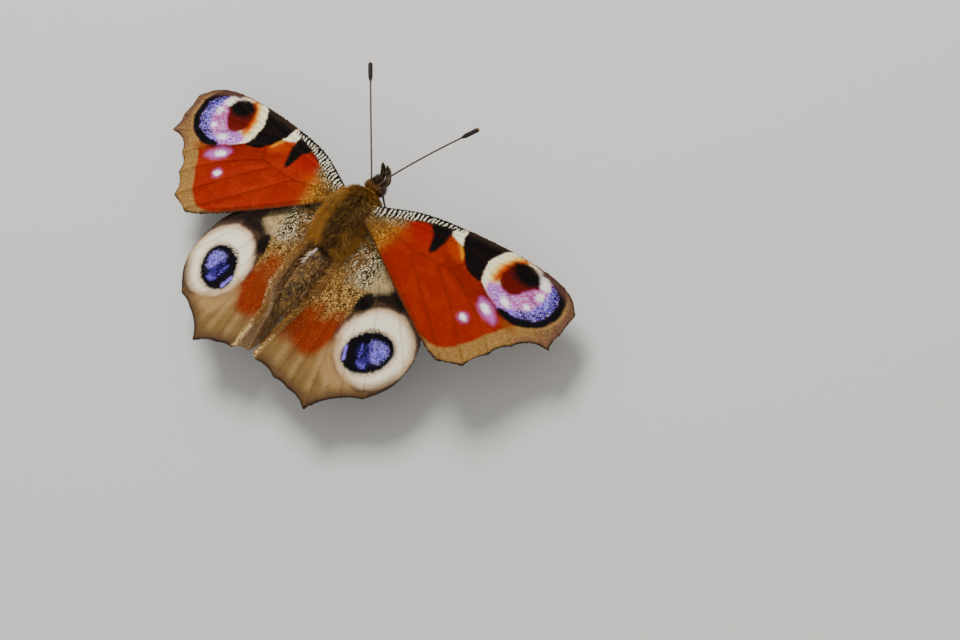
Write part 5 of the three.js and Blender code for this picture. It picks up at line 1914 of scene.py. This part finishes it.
# %% Short hair along the free rim of each fold
def away_from_wing(x, y):
    """The direction straight out over the nearest edge of a hindwing."""
    step, edge = 0.15, hindwing["edge_distance"]
    slope = np.stack([
        look_up(edge, x + step, y) - look_up(edge, x - step, y),
        look_up(edge, x, y + step) - look_up(edge, x, y - step),
    ], 1)
    return slope / np.maximum(np.linalg.norm(slope, axis=1, keepdims=True), 1e-6)


tried, rim_hairs = 60000, 1500
for number, (name, pose) in enumerate(folded_wings.items()):
    random = np.random.default_rng(460 + number)
    x, y = random.uniform(-3, 5, tried), random.uniform(-17.5, -1.5, tried)
    to_rim = look_up(hindwing["edge_distance"], x, y)
    kept = (inside_fold(pose, x, y) > 0.2) & (to_rim > -0.45) & (to_rim < -0.12)
    x, y = x[kept][:rim_hairs], y[kept][:rim_hairs]
    ahead = away_from_wing(x, y)
    ahead += np.stack([random.normal(0, 0.15, len(x)), random.normal(-0.5, 0.2, len(x))], 1)
    grey = hair_colours(plain((176, 140, 102), len(x)), random, 0.2, pale=(216, 184, 142))
    hair_on_wing(name + "_rim_hair", pose, x, y, ahead, random.uniform(0.5, 1.1, len(x)), grey,
                 rise=random.uniform(0.05, 0.3, len(x)), half_width=0.026, seed=520 + number)

# %% [markdown]
# ## Floor and light
#
# The model stands on a plain pale floor under soft studio light. One large light over the camera's left
# shoulder gives the shape, a second one fills the shadows, and a pale world keeps them from going black.

# %% Floor
half_floor = 0.6
corners = [(x * half_floor, y * half_floor, 0) for x, y in ((-1, -1), (1, -1), (1, 1), (-1, 1))]
floor_mesh = bpy.data.meshes.new("floor")
floor_mesh.from_pydata(corners, [], [(0, 1, 2, 3)])
floor = bpy.data.objects.new("floor", floor_mesh)
bpy.context.scene.collection.objects.link(floor)
floor_material = bpy.data.materials.new("floor_material")
floor_material.use_nodes = True
floor_shader = floor_material.node_tree.nodes["Principled BSDF"]
floor_shader.inputs["Base Color"].default_value = (0.62, 0.61, 0.58, 1)
floor_shader.inputs["Roughness"].default_value = 0.9
floor_mesh.materials.append(floor_material)
print("floor in metres:", 2 * half_floor, "across")


# %% Lights
def soft_light(name, direction, distance, width, power):
    data = bpy.data.lights.new(name, "AREA")
    data.shape = "DISK"
    data.size = width
    data.energy = power
    light = bpy.data.objects.new(name, data)
    towards = Vector(direction).normalized()
    light.location = towards * distance
    light.rotation_euler = towards.to_track_quat("Z", "Y").to_euler()
    bpy.context.scene.collection.objects.link(light)
    print(name, "light:", power, "W")


soft_light("key", (-0.45, 0.5, 0.9), distance=0.5, width=0.25, power=3.0)
soft_light("fill", (0.9, -0.6, 0.7), distance=0.6, width=0.4, power=0.8)

# %% A pale world
world = bpy.data.worlds.new("studio")
world.use_nodes = True
background = world.node_tree.nodes["Background"]
background.inputs["Color"].default_value = (1.0, 0.97, 0.93, 1)
background.inputs["Strength"].default_value = 0.5
bpy.context.scene.world = world
print("world strength:", background.inputs["Strength"].default_value)
